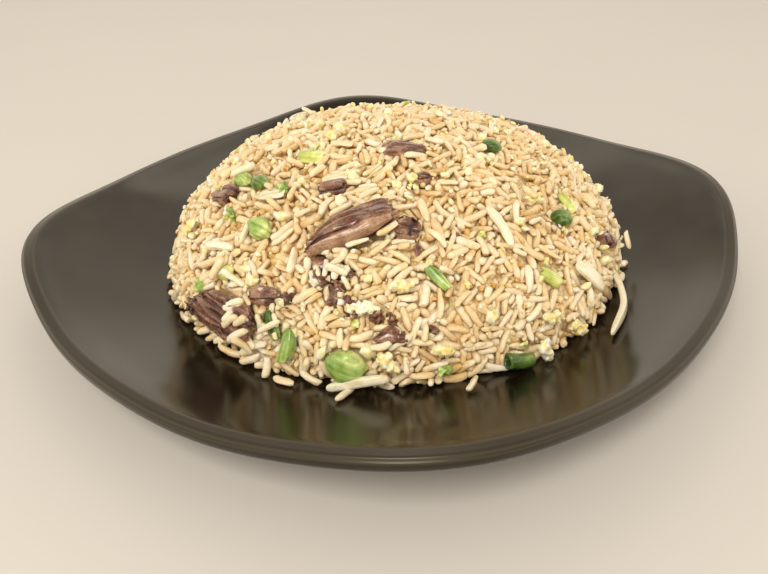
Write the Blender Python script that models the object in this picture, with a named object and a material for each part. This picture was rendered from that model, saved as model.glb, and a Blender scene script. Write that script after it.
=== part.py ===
"""Beef and egg fried rice on its own dark plate.

The plate is a square with round sides, its corners on +X, +Y, -X and -Y and raised above
the middles of its sides. A moulded mound of rice stands in its well, with beef, greens,
egg curds and bean sprouts bedded in the rice. +Z is up and the plate's foot is on Z = 0.
"""

import math
import random
from typing import NamedTuple

import bmesh
import bpy
import numpy as np
from mathutils import Matrix, Vector
from mathutils.geometry import delaunay_2d_cdt

MM = 0.001
GAP = 0.5 * MM  # between the rice and the plate
BED_GAP = 0.6 * MM  # how far a topping's bed in the rice is cut outside the topping's corners

# Plate
RIM_RADIUS = 135 * MM  # mean reach of the lip's outer edge
RIM_WAVES = ((4, 0.0318), (8, 0.0066), (12, 0.0023))  # share that each wave adds to the reach
RIM_HEIGHT = 25 * MM  # mean height of the lip's crest
RIM_RISE = ((4, 3.3 * MM), (8, 0.8 * MM))  # height that each wave adds
LIP_WIDTH = 5.2 * MM
LIP_CROWN = 0.5 * MM  # drop from the lip's crest to either edge
RIM_THICKNESS = 5.0 * MM
RIM_ROUND = 0.7 * MM
WELL_HEIGHT = 8.2 * MM  # top of the flat well above the table
WELL_SHARE = 0.5  # share of the reach where the wall starts to rise
WALL_POWER = 1.75  # how slowly the wall leaves the well
PLATE_THICKNESS = 4.0 * MM
FOOT_RADIUS = 78 * MM
FOOT_WIDTH = 4.5 * MM
PLATE_SIDES = 64
WALL_SHARES = (0.5, 0.62, 0.72, 0.81, 0.89)
UNDER_SHARES = (0.9, 0.78, 0.66)

# Mound of rice
MOUND_X = 2.6 * MM
MOUND_Y = -0.7 * MM
MOUND_RADIUS_X = 90.6 * MM
MOUND_RADIUS_Y = 94.2 * MM
MOUND_HEIGHT = 52.8 * MM
# Low swells and dips: degrees round, degrees down from the crown, height, spread in degrees
SWELLS = (
    (35, 58, 1.6 * MM, 24),
    (-10, 75, 0.8 * MM, 20),
    (-128, 84, -1.6 * MM, 16),
    (-150, 52, 1.0 * MM, 20),
    (-100, 62, 0.8 * MM, 18),
    (120, 66, 1.5 * MM, 26),
    (180, 78, -0.9 * MM, 22),
    (70, 30, -0.8 * MM, 24),
)
GRAIN_LENGTH = 8.6 * MM
GRAIN_WIDTH = 2.3 * MM
GRAIN_SPACING = 4.1 * MM  # least distance between two grains' crests
GRAIN_TRIES = 9000
CREST_HEIGHT = 1.0 * MM
HOLLOW_DEPTH = 0.7 * MM
HOLLOW_SPACING = 4.0 * MM
HOLLOW_CLEARANCE = 1.45 * MM  # least distance from a hollow to a crest
FOOT_STEP = 4.4 * MM  # spacing of the points along the mound's foot
FOOT_UNEVEN = 0.9 * MM
CREST_LIMIT = 84.0  # degrees down from the crown that a crest may reach
UNDERSIDE_SHARE = 0.72  # share of the mound's radius where its underside meets the flat well
LOOSE_GRAINS = 26  # whole grains round the mound's foot
PERCHED_GRAINS = 12  # whole grains that stand out of the mound's face
GRAIN_SIDES = 5


class Spot(NamedTuple):
    """A place on the mound and how a piece lies there. Angles are in degrees."""

    around: float  # round the mound, 0 on +X and 90 on +Y
    down: float  # down from the crown, 90 at the foot
    turn: float  # of the piece's length, from level, anticlockwise seen from outside
    lift: float  # of the piece's middle above the mound's face, in millimetres
    roll: float = 0.0  # about the piece's own length
    pitch: float = 0.0  # raises the far end of its length


class Piece(NamedTuple):
    """A topping: its size in millimetres and its spot."""

    name: str
    length: float
    width: float
    thickness: float
    spot: Spot


BEEF = (
    Piece("beef_top", 31, 15.5, 10.5, Spot(-111.5, 40.3, 30, 1.6, -12)),
    Piece("beef_under", 20, 7.5, 4.5, Spot(-114.3, 51.3, 6, -0.9)),
    Piece("beef_crown", 9, 8, 5.5, Spot(-92.6, 39.6, -20, 1.2)),
    Piece("beef_foot", 35.5, 16, 7, Spot(-138, 74.5, 4, 1.4, 8)),
    Piece("beef_foot_upper", 14, 5.5, 5, Spot(-128.3, 63.2, 14, 1.0)),
    Piece("beef_upper", 10, 6, 4.5, Spot(-124.8, 28.6, 17, 1.0)),
    Piece("beef_left", 12, 9, 6, Spot(-165.5, 45.5, 40, 1.0)),
    Piece("beef_rear_low", 9.5, 5.2, 4, Spot(-81.8, 24.4, -9, 0.8)),
    Piece("beef_rear", 16, 6.5, 5, Spot(-84.0, 12.4, -13, 1.0)),
    Piece("beef_right", 9, 7, 5, Spot(-31.5, 68.5, 20, 1.2)),
    Piece("beef_front", 8, 5.5, 4.5, Spot(-99.0, 70.6, 11, 0.8)),
    Piece("beef_back_left", 15, 10, 6, Spot(118, 58, 20, 1.2)),
    Piece("beef_back_right", 20, 12, 6.5, Spot(62, 66, -15, 1.2)),
)
GREENS = (
    Piece("green_front", 12.6, 9.4, 7.5, Spot(-107.2, 80.6, 14, 2.0)),
    Piece("green_bent", 11, 5.6, 4.6, Spot(-119.8, 77.2, -100, 1.4)),
    Piece("green_leaf", 9.5, 5.2, 2.2, Spot(-124.0, 71.8, -52, 1.2, 14)),
    Piece("green_strip", 9.4, 3.6, 2.6, Spot(-86.6, 54.2, -56, 1.0)),
    Piece("green_ring", 8.6, 8.0, 5.0, Spot(-138.6, 46.6, 31, 1.2, 12)),
    Piece("green_left", 8.5, 5.4, 4.0, Spot(-156.5, 36.4, 42, 1.0)),
    Piece("green_left_pale", 8.0, 6.0, 3.6, Spot(-166.6, 39.4, 36, 0.9)),
    Piece("green_low_left", 7.6, 5.2, 3.4, Spot(-141.2, 61.4, 26, 0.8)),
    Piece("green_square", 6.8, 6.4, 4.4, Spot(-42.6, 51.2, -20, 1.2)),
    Piece("green_long", 8.6, 4.2, 3.4, Spot(-33.6, 50.4, -118, 1.0)),
    Piece("green_olive", 8.0, 5.2, 3.6, Spot(-58.6, 63.2, -52, 0.9)),
    Piece("green_foot", 9.4, 5.0, 4.4, Spot(-72.6, 85.6, -12, 2.4)),
    Piece("green_rear_left", 10.5, 7.5, 4.0, Spot(-153.8, 21.6, 30, 0.9)),
    Piece("green_rear_right", 7.4, 6.4, 4.0, Spot(-25.2, 25.4, -40, 1.0)),
    Piece("green_back_left", 10, 7, 5, Spot(134, 70, 12, 1.4)),
    Piece("green_back", 11, 8, 5, Spot(92, 56, -35, 1.3)),
    Piece("green_back_right", 9, 6, 4.5, Spot(46, 61, 40, 1.1)),
)
EGGS = (
    Piece("egg_front", 10.4, 4.6, 3.6, Spot(-103.8, 62.0, -3, 1.1)),
    Piece("egg_middle", 8.4, 4.8, 3.4, Spot(-95.8, 56.2, 6, 1.0)),
    Piece("egg_low", 9.6, 5.4, 3.8, Spot(-98.6, 78.6, -46, 1.5)),
    Piece("egg_low_right", 8.0, 4.6, 3.4, Spot(-88.0, 76.6, -6, 1.1)),
    Piece("egg_foot", 9.0, 5.4, 3.8, Spot(-66.6, 85.0, -62, 2.2)),
    Piece("egg_right", 11.0, 5.2, 3.6, Spot(-63.0, 75.4, -14, 1.2)),
    Piece("egg_far_right", 9.6, 5.0, 3.6, Spot(-57.0, 83.6, -20, 1.8)),
    Piece("egg_upper_right", 9.6, 5.6, 3.6, Spot(-45.4, 42.4, -26, 1.0)),
    Piece("egg_left", 9.8, 5.6, 3.6, Spot(-165.2, 59.4, 72, 1.1)),
    Piece("egg_back", 11, 6, 4, Spot(76, 50, 25, 1.1)),
    Piece("egg_back_left", 9, 6, 4, Spot(102, 75, -15, 1.2)),
)
SPROUTS = (
    Piece("sprout_front", 20, 3.2, 2.8, Spot(-104.6, 85.2, 14, 4.2)),
    Piece("sprout_white", 15, 4.6, 2.6, Spot(-47.2, 70.6, -60, 1.3)),
    Piece("sprout_stalk", 14.5, 3.0, 2.6, Spot(-147.8, 56.4, 22, 1.0)),
    Piece("sprout_sliver", 16.5, 3.0, 2.4, Spot(-63.8, 44.6, -95, 1.1)),
    Piece("onion_petal", 10, 5.6, 2.4, Spot(-146.6, 36.6, 38, 1.0)),
    Piece("sprout_back", 18, 3.2, 2.8, Spot(120, 44, 20, 1.1)),
)
# The sprout that hangs off the mound's right side onto the plate: route, width and thickness
HANGING_ROUTE = ((76.9, -51.1, 19.5), (76.8, -59.3, 17.0), (73.4, -69.9, 16.0), (63.4, -84.1, 16.6))
HANGING_WIDTH = 3.8
HANGING_THICKNESS = 2.4
# Crumbs fused to the mound: egg and greens under about 7 mm, as (around, down, size in mm)
CRUMBS = (
    (-104.5, 53.0, 5.6),
    (-87.4, 66.8, 5.4),
    (-74.1, 61.8, 6.0),
    (-59.4, 49.2, 4.4),
    (-59.3, 31.8, 5.6),
    (-160.8, 27.5, 5.6),
    (-146.8, 69.2, 5.2),
    (-63.0, 24.0, 5.6),
    (-46.6, 46.9, 4.6),
    (-84.2, 78.9, 5.2),
    (-67.2, 77.8, 4.8),
    (-132.8, 17.6, 5.8),
    (166.5, 6.0, 6.0),
    (-19.7, 7.5, 5.0),
    (-1.0, 29.0, 6.0),
    (-108.3, 51.2, 5.6),
    (-119.5, 51.6, 5.4),
    (50.0, 20.0, 5.4),
    (110.0, 75.0, 5.4),
    (10.0, 62.0, 5.2),
)


def clear_scene():
    """Removes every object from the scene."""
    for item in list(bpy.data.objects):
        bpy.data.objects.remove(item, do_unlink=True)


def make_material(name, colour, roughness):
    """A plain surface for one kind of piece."""
    material = bpy.data.materials.new(name)
    material.use_nodes = True
    shader = material.node_tree.nodes["Principled BSDF"]
    shader.inputs["Base Color"].default_value = (*colour, 1.0)
    shader.inputs["Roughness"].default_value = roughness
    shader.inputs["Metallic"].default_value = 0.0
    return material


def add_object(name, mesh, material):
    """Turns a bmesh into a smooth-shaded object of the scene."""
    bmesh.ops.recalc_face_normals(mesh, faces=mesh.faces)
    data = bpy.data.meshes.new(name)
    mesh.to_mesh(data)
    mesh.free()
    data.shade_smooth()
    data.materials.append(material)
    item = bpy.data.objects.new(name, data)
    bpy.context.scene.collection.objects.link(item)
    return item


def loft(mesh, rings):
    """Adds a closed skin over rings of equal count, with a point closing each end."""
    loops = [[mesh.verts.new(point) for point in ring] for ring in rings]
    for first, second in zip(loops, loops[1:]):
        for i, vert in enumerate(first):
            j = (i + 1) % len(first)
            mesh.faces.new((vert, first[j], second[j], second[i]))
    for loop in (loops[0], loops[-1]):
        middle = sum((vert.co for vert in loop), Vector()) / len(loop)
        tip = mesh.verts.new(middle)
        for i, vert in enumerate(loop):
            mesh.faces.new((vert, loop[(i + 1) % len(loop)], tip))


def wave(terms, angle):
    """Sum of cosine waves round the plate."""
    return sum(size * np.cos(count * angle) for count, size in terms)


def reach(share, angle):
    """Distance from the plate's axis at a share of the lip's reach: round inside, square outside."""
    return RIM_RADIUS * share * (1 + wave(RIM_WAVES, angle) * share**2)


def rim_height(angle):
    """Height of the lip's crest."""
    return RIM_HEIGHT + wave(RIM_RISE, angle)


def lip_share():
    """Share of the reach where the lip's inner edge lies."""
    return 1 - LIP_WIDTH / RIM_RADIUS


def plate_top(share, angle):
    """Height of the plate's upper face inside the lip."""
    rise = np.clip((share - WELL_SHARE) / (lip_share() - WELL_SHARE), 0, 1) ** WALL_POWER
    return WELL_HEIGHT + (rim_height(angle) - LIP_CROWN - WELL_HEIGHT) * rise


def plate_top_at(x, y):
    """Height of the plate's upper face under a point."""
    angle = np.arctan2(y, x)
    distance = np.hypot(x, y)
    share = distance / RIM_RADIUS
    for _ in range(3):
        share = distance / (RIM_RADIUS * (1 + wave(RIM_WAVES, angle) * share**2))
    return plate_top(share, angle)


def plate_ring(radius_of, height_of):
    """Points of one ring of the plate, from its radius and height at each angle."""
    angles = [2 * math.pi * i / PLATE_SIDES for i in range(PLATE_SIDES)]
    return [Vector((radius_of(a) * math.cos(a), radius_of(a) * math.sin(a), height_of(a))) for a in angles]


def make_plate(material):
    """The plate: well, rising wall, flat lip, turned-down edge and ring foot."""
    rings = [plate_ring(lambda a, s=s: reach(s, a), lambda a, s=s: plate_top(s, a)) for s in WALL_SHARES]
    lip = (
        (LIP_WIDTH, LIP_CROWN),
        (LIP_WIDTH / 2, 0.0),
        (RIM_ROUND, LIP_CROWN * 0.6),
        (0.0, LIP_CROWN + RIM_ROUND),
        (0.3 * MM, RIM_THICKNESS - RIM_ROUND),
        (RIM_ROUND * 2, RIM_THICKNESS),
    )
    for inset, drop in lip:
        rings.append(plate_ring(lambda a, i=inset: reach(1, a) - i, lambda a, d=drop: rim_height(a) - d))
    for share in UNDER_SHARES:
        rings.append(
            plate_ring(lambda a, s=share: reach(s, a), lambda a, s=share: plate_top(s, a) - PLATE_THICKNESS)
        )
    foot_top = WELL_HEIGHT - PLATE_THICKNESS
    half = FOOT_WIDTH / 2
    foot = ((half + 1 * MM, foot_top), (half, 0.0), (-half, 0.0), (-half - 1 * MM, foot_top))
    for offset, height in foot:
        rings.append(plate_ring(lambda a, o=offset: FOOT_RADIUS + o, lambda a, h=height: h))
    mesh = bmesh.new()
    loft(mesh, rings)
    return add_object("plate", mesh, material)


def swell(around, down):
    """Height of the mound's low swells and dips, from angles in radians."""
    total = np.zeros(np.broadcast(around, down).shape)
    for swell_around, swell_down, height, spread in SWELLS:
        turn = (around - math.radians(swell_around) + math.pi) % (2 * math.pi) - math.pi
        sideways = turn * np.sin(down)
        distance = np.hypot(sideways, down - math.radians(swell_down))
        total = total + height * np.exp(-((distance / math.radians(spread)) ** 2))
    return total


def mound_point(around, down, lift=0.0):
    """Points on the mound's face, lifted off it by a distance. Angles are in radians."""
    lift = lift + swell(around, down)
    x = MOUND_X + MOUND_RADIUS_X * np.sin(down) * np.cos(around)
    y = MOUND_Y + MOUND_RADIUS_Y * np.sin(down) * np.sin(around)
    base = plate_top_at(x, y) + GAP
    z = base + (MOUND_HEIGHT + WELL_HEIGHT + GAP - base) * np.cos(down)
    out_x = np.sin(down) * np.cos(around) / MOUND_RADIUS_X
    out_y = np.sin(down) * np.sin(around) / MOUND_RADIUS_Y
    out_z = np.cos(down) / MOUND_HEIGHT
    size = np.sqrt(out_x**2 + out_y**2 + out_z**2)
    return np.stack([x + lift * out_x / size, y + lift * out_y / size, z + lift * out_z / size], -1)


def mound_axes(around, down):
    """Level, upward and outward directions on the mound's face."""
    step = 1e-3
    level = mound_point(around + step, down) - mound_point(around - step, down)
    upward = mound_point(around, down - step) - mound_point(around, down + step)
    level = Vector(level).normalized()
    outward = level.cross(Vector(upward)).normalized()
    return level, outward.cross(level), outward


def spot_matrix(spot):
    """Places a piece: its length on X, its width on Y and its upper face on +Z."""
    around = math.radians(spot.around)
    down = math.radians(spot.down)
    level, upward, outward = mound_axes(around, down)
    frame = Matrix((level, upward, outward)).transposed().to_4x4()
    place = Matrix.Translation(Vector(mound_point(around, down, spot.lift * MM)))
    turn = Matrix.Rotation(math.radians(spot.turn), 4, "Z")
    pitch = Matrix.Rotation(-math.radians(spot.pitch), 4, "Y")
    roll = Matrix.Rotation(math.radians(spot.roll), 4, "X")
    return place @ frame @ turn @ pitch @ roll


def arc_lengths():
    """Table of angle down from the crown against distance along the mound's face."""
    down = np.linspace(0, math.pi / 2, 181)
    radius = (MOUND_RADIUS_X + MOUND_RADIUS_Y) / 2
    slope = np.hypot(radius * np.cos(down), MOUND_HEIGHT * np.sin(down))
    steps = (slope[1:] + slope[:-1]) / 2 * np.diff(down)
    return down, np.concatenate([[0], np.cumsum(steps)])


def flat_place(around, down):
    """Place of a point of the mound's face on its flat development."""
    distance = np.interp(down, *arc_lengths())
    return np.stack([distance * np.cos(around), distance * np.sin(around)], -1)


def random_spots(draw, count, lowest):
    """Random angles round and down the mound, spread evenly over its face."""
    downs, lengths = arc_lengths()
    radius = (MOUND_RADIUS_X + MOUND_RADIUS_Y) / 2
    weight = np.interp(np.linspace(0, lengths[-1], 400), lengths, downs)
    area = np.cumsum(np.sin(weight) * radius)
    down = np.interp(draw.random(count) * area[-1], area, weight)
    around = draw.random(count) * 2 * math.pi
    keep = down < math.radians(lowest)
    return around[keep], down[keep]


def lay_crests(draw):
    """Crests of the grains on the mound's face, as pairs of angles, none too near another."""
    arounds, downs = random_spots(draw, GRAIN_TRIES, CREST_LIMIT)
    half = (GRAIN_LENGTH - GRAIN_WIDTH) / 2
    radius = (MOUND_RADIUS_X + MOUND_RADIUS_Y) / 2
    taken = np.full((1, 3), 10.0)
    crests = []
    for around, down in zip(arounds, downs):
        turn = draw.random() * math.pi
        along = half * (0.8 + 0.4 * draw.random())
        slope = math.hypot(radius * math.cos(down), MOUND_HEIGHT * math.sin(down))
        step_down = along * math.sin(turn) / slope
        step_around = along * math.cos(turn) / (radius * max(math.sin(down), 0.08))
        share = np.array([-1.0, -0.5, 0.0, 0.5, 1.0])
        line_around = around + share * step_around
        line_down = down + share * step_down
        if line_down.min() < 0.03 or line_down.max() > math.radians(CREST_LIMIT):
            continue
        points = mound_point(line_around, line_down)
        nearest = np.linalg.norm(points[:, None] - taken[None], axis=2).min()
        if nearest < GRAIN_SPACING:
            continue
        taken = np.concatenate([taken, points])
        crests.append((line_around[[0, -1]], line_down[[0, -1]]))
    return crests, taken


def lay_hollows(draw, taken):
    """Points of the hollows between the grains."""
    arounds, downs = random_spots(draw, GRAIN_TRIES, CREST_LIMIT)
    points = mound_point(arounds, downs)
    kept = []
    kept_points = np.full((1, 3), 10.0)
    for i, point in enumerate(points):
        if np.linalg.norm(taken - point, axis=1).min() < HOLLOW_CLEARANCE:
            continue
        if np.linalg.norm(kept_points - point, axis=1).min() < HOLLOW_SPACING:
            continue
        kept_points = np.concatenate([kept_points, point[None]])
        kept.append(i)
    return arounds[kept], downs[kept]


def foot_points(draw):
    """Points of the mound's uneven foot, just clear of the plate."""
    count = round(math.pi * (MOUND_RADIUS_X + MOUND_RADIUS_Y) / FOOT_STEP)
    around = np.arange(count) * 2 * math.pi / count
    down = np.full(count, math.pi / 2)
    uneven = FOOT_UNEVEN * (2 * draw.random(count) - 1)
    points = mound_point(around, down, uneven)
    points[:, 2] = plate_top_at(points[:, 0], points[:, 1]) + GAP
    return around, down, points


def make_mound(material):
    """The mound: crests as long as grains with hollows between, on a foot that follows the plate."""
    draw = np.random.default_rng(11)
    crests, taken = lay_crests(draw)
    hollow_around, hollow_down = lay_hollows(draw, taken)
    foot_around, foot_down, foot = foot_points(draw)
    crest_around = np.concatenate([pair[0] for pair in crests])
    crest_down = np.concatenate([pair[1] for pair in crests])
    crest_lift = CREST_HEIGHT * (0.6 + 0.7 * draw.random(len(crest_around)))
    hollow_lift = -HOLLOW_DEPTH * draw.random(len(hollow_around))
    around = np.concatenate([foot_around, crest_around, hollow_around])
    down = np.concatenate([foot_down, crest_down, hollow_down])
    face = np.concatenate(
        [
            foot,
            mound_point(crest_around, crest_down, crest_lift),
            mound_point(hollow_around, hollow_down, hollow_lift),
        ]
    )
    flat = [Vector(place) for place in flat_place(around, down)]
    count = len(foot)
    crest_edges = [(count + 2 * i, count + 2 * i + 1) for i in range(len(crests))]
    outline = list(range(count))
    cut = delaunay_2d_cdt(flat, crest_edges, [outline], 1, 1e-7)
    mesh = bmesh.new()
    verts = [mesh.verts.new(Vector(face[source[0]])) for source in cut[3]]
    for corners in cut[2]:
        mesh.faces.new([verts[i] for i in corners])
    close_underside(mesh)
    return add_object("rice_mound", mesh, material)


def close_underside(mesh):
    """Closes the mound below: one ring that follows the plate's wall, and a floor over the flat well."""
    foot_edges = [edge for edge in mesh.edges if edge.is_boundary]
    grown = bmesh.ops.extrude_edge_only(mesh, edges=foot_edges)["geom"]
    for vert in grown:
        if isinstance(vert, bmesh.types.BMVert):
            angle = math.atan2(vert.co.y, vert.co.x)
            vert.co.x = MOUND_RADIUS_X * UNDERSIDE_SHARE * math.cos(angle)
            vert.co.y = MOUND_RADIUS_X * UNDERSIDE_SHARE * math.sin(angle)
            vert.co.z = WELL_HEIGHT + GAP
    inner = [item for item in grown if isinstance(item, bmesh.types.BMEdge) and item.is_boundary]
    bmesh.ops.holes_fill(mesh, edges=inner, sides=0)


def grain_rings(length, width):
    """Rings of a plain grain along X, with few sides."""
    rings = []
    for place, size in ((-0.47, 0.35), (-0.25, 1.0), (0.25, 1.0), (0.47, 0.35)):
        ring = []
        for side in range(GRAIN_SIDES):
            angle = 2 * math.pi * side / GRAIN_SIDES
            across = width / 2 * size
            ring.append(Vector((length * place, across * math.cos(angle), across * math.sin(angle))))
        rings.append(ring)
    return rings


def add_helper(name, mesh, collection):
    """An object that a Boolean uses and that isn't a piece itself."""
    bmesh.ops.recalc_face_normals(mesh, faces=mesh.faces)
    data = bpy.data.meshes.new(name)
    mesh.to_mesh(data)
    mesh.free()
    item = bpy.data.objects.new(name, data)
    item.hide_render = True
    item.display_type = "WIRE"
    collection.objects.link(item)
    return item


def foot_grain_matrix(draw, around):
    """Lays a grain on the plate with one end in the mound's foot."""
    down = math.pi / 2
    level, _, _ = mound_axes(around, down - 0.02)
    foot = Vector(mound_point(around, down, 0.0))
    outward = Vector((level.y, -level.x, 0.0)).normalized()
    swing = draw.uniform(-1.1, 1.1)
    direction = outward * math.cos(swing) + level * math.sin(swing)
    middle = foot + direction * draw.uniform(0.6, 1.8) * MM
    ends = [middle + direction * GRAIN_LENGTH * share for share in (-0.45, 0.0, 0.45)]
    lift = GRAIN_WIDTH / 2 + GAP
    heights = [plate_top_at(end.x, end.y) + lift for end in ends]
    direction.z = (heights[2] - heights[0]) / (0.9 * GRAIN_LENGTH)
    middle.z = max(heights[1], (heights[0] + heights[2]) / 2) + 0.1 * MM
    turn = direction.normalized().to_track_quat("X", "Z").to_matrix().to_4x4()
    return Matrix.Translation(middle) @ turn


def perched_grain_matrix(draw, around, down):
    """Stands a grain out of the mound's face at a low angle."""
    spot = Spot(
        math.degrees(around),
        math.degrees(down),
        draw.uniform(0, 180),
        draw.uniform(1.2, 1.9),
        0.0,
        draw.uniform(6, 22),
    )
    return spot_matrix(spot)


def crumb_rings(size, draw):
    """Rings of a small uneven crumb along X."""
    rings = []
    for place, share in ((-0.42, 0.55), (0.0, 1.0), (0.42, 0.5)):
        ring = []
        for side in range(GRAIN_SIDES):
            angle = 2 * math.pi * side / GRAIN_SIDES
            across = size * share * draw.uniform(0.32, 0.46)
            ring.append(Vector((size * place, across * math.cos(angle), 0.7 * across * math.sin(angle))))
        rings.append(ring)
    return rings


def fuse_small_pieces(mound, toppings):
    """Fuses loose grains and crumbs to the mound, clear of the toppings."""
    draw = random.Random(5)
    collection = bpy.data.collections.new("small_pieces")
    bpy.context.scene.collection.children.link(collection)
    placed = []
    for i in range(LOOSE_GRAINS):
        around = 2 * math.pi * (i + draw.uniform(-0.3, 0.3)) / LOOSE_GRAINS
        placed.append((foot_grain_matrix(draw, around), grain_rings(GRAIN_LENGTH, GRAIN_WIDTH)))
    for i in range(PERCHED_GRAINS):
        around = 2 * math.pi * (i * 0.618)
        down = math.radians(22 + 56 * ((i * 0.367) % 1))
        placed.append((perched_grain_matrix(draw, around, down), grain_rings(GRAIN_LENGTH, GRAIN_WIDTH)))
    for around, down, size in CRUMBS:
        spot = Spot(around, down, draw.uniform(0, 180), 0.9)
        placed.append((spot_matrix(spot), crumb_rings(size * MM, draw)))
    centres = [sum((Vector(corner) for corner in item.bound_box), Vector()) / 8 for item in toppings]
    reaches = [max(item.dimensions) / 2 for item in toppings]
    for i, (matrix, rings) in enumerate(placed):
        middle = matrix.translation
        nearest = min((middle - centre).length - reach_of for centre, reach_of in zip(centres, reaches))
        if nearest < 0.4 * GRAIN_LENGTH:
            continue
        mesh = bmesh.new()
        loft(mesh, [[matrix @ point for point in ring] for ring in rings])
        add_helper(f"small_{i}", mesh, collection)
    apply_boolean(mound, collection, "UNION")


def cut_beds(mound, toppings):
    """Cuts a bed for each topping out of the mound, a little outside the topping."""
    collection = bpy.data.collections.new("beds")
    bpy.context.scene.collection.children.link(collection)
    for topping in toppings:
        mesh = bmesh.new()
        mesh.from_mesh(topping.data)
        mesh.normal_update()
        moves = [(vert, vert.normal * BED_GAP) for vert in mesh.verts]
        for vert, move in moves:
            vert.co += move
        add_helper(f"bed_{topping.name}", mesh, collection)
    apply_boolean(mound, collection, "DIFFERENCE")


def apply_boolean(item, collection, operation):
    """Applies one Boolean between an object and a collection, then removes the collection."""
    modifier = item.modifiers.new("fuse", "BOOLEAN")
    modifier.operation = operation
    modifier.operand_type = "COLLECTION"
    modifier.collection = collection
    modifier.solver = "EXACT"
    bpy.context.view_layer.update()
    graph = bpy.context.evaluated_depsgraph_get()
    data = bpy.data.meshes.new_from_object(item.evaluated_get(graph))
    item.modifiers.clear()
    item.data = data
    for helper in list(collection.objects):
        bpy.data.objects.remove(helper, do_unlink=True)
    bpy.data.collections.remove(collection)


def keep_largest_shell(item):
    """Drops the scraps that a cut leaves loose."""
    mesh = bmesh.new()
    mesh.from_mesh(item.data)
    bmesh.ops.remove_doubles(mesh, verts=mesh.verts, dist=1e-6)
    left = set(mesh.verts)
    shells = []
    while left:
        shell = {left.pop()}
        waiting = list(shell)
        while waiting:
            vert = waiting.pop()
            for edge in vert.link_edges:
                other = edge.other_vert(vert)
                if other in left:
                    left.remove(other)
                    shell.add(other)
                    waiting.append(other)
        shells.append(shell)
    shells.sort(key=len)
    scraps = [vert for shell in shells[:-1] for vert in shell]
    bmesh.ops.delete(mesh, geom=scraps, context="VERTS")
    mesh.to_mesh(item.data)
    mesh.free()
    item.data.shade_smooth()


def slab_rings(piece, section, rings, draw):
    """Rings of a slab along X: a cross-section swept from end to end, tapering, with some wobble."""
    half_length = piece.length * MM / 2
    result = []
    for i in range(rings):
        place = -1 + 2 * i / (rings - 1)
        size = (1 - 0.75 * abs(place) ** 3.5) * draw.uniform(0.93, 1.05)
        bow = 0.08 * piece.length * MM * (1 - place**2)
        shift = draw.uniform(-0.05, 0.05) * piece.width * MM
        ring = []
        for across, height in section:
            y = across * piece.width * MM / 2 * size * draw.uniform(0.94, 1.04) + shift
            z = height * piece.thickness * MM / 2 * size * draw.uniform(0.92, 1.06) + bow
            ring.append(Vector((place * half_length * 0.97, y, z)))
        result.append(ring)
    return result


FOLDED_SECTION = (
    (-0.92, 0.42),
    (-0.55, 0.82),
    (0.0, 1.0),
    (0.62, 0.9),
    (1.0, 0.4),
    (0.98, -0.35),
    (0.55, -0.9),
    (-0.1, -1.0),
    (-0.75, -0.85),
    (-1.0, -0.35),
    (-0.5, -0.02),
)


def round_section(sides, squareness):
    """Cross-section between an ellipse and a rounded rectangle."""
    result = []
    for side in range(sides):
        angle = 2 * math.pi * (side + 0.5) / sides
        c = math.cos(angle)
        s = math.sin(angle)
        result.append((math.copysign(abs(c) ** squareness, c), math.copysign(abs(s) ** squareness, s)))
    return tuple(result)


def make_slab(piece, section, rings, material):
    """A piece of beef, egg or green bedded on the mound."""
    draw = random.Random(piece.name)
    mesh = bmesh.new()
    matrix = spot_matrix(piece.spot)
    loft(mesh, [[matrix @ point for point in ring] for ring in slab_rings(piece, section, rings, draw)])
    return add_object(piece.name, mesh, material)


def smooth_route(points, count):
    """Points along a smooth curve through the given ones."""
    padded = [2 * points[0] - points[1], *points, 2 * points[-1] - points[-2]]
    result = []
    for i in range(count):
        place = i / (count - 1) * (len(points) - 1)
        span = min(int(place), len(points) - 2)
        t = place - span
        a, b, c, d = padded[span : span + 4]
        result.append(
            0.5 * (2 * b + (c - a) * t + (2 * a - 5 * b + 4 * c - d) * t**2 + (3 * b - a - 3 * c + d) * t**3)
        )
    return result


def make_hanging_sprout(material):
    """The sprout that leaves the mound's side and ends on the plate."""
    route = smooth_route([Vector(point) * MM for point in HANGING_ROUTE], 9)
    section = round_section(6, 0.8)
    axis = Vector((MOUND_X, MOUND_Y, 0.0))
    rings = []
    for i, point in enumerate(route):
        ahead = (route[min(i + 1, 8)] - route[max(i - 1, 0)]).normalized()
        outward = point - axis
        outward = (outward - ahead * outward.dot(ahead)).normalized()
        sideways = outward.cross(ahead)
        size = 0.45 if i in (0, 8) else 1.0
        rings.append(
            [
                point
                + sideways * across * HANGING_WIDTH * MM / 2 * size
                + outward * height * HANGING_THICKNESS * MM / 2 * size
                for across, height in section
            ]
        )
    mesh = bmesh.new()
    loft(mesh, rings)
    return add_object("sprout_hanging", mesh, material)


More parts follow.
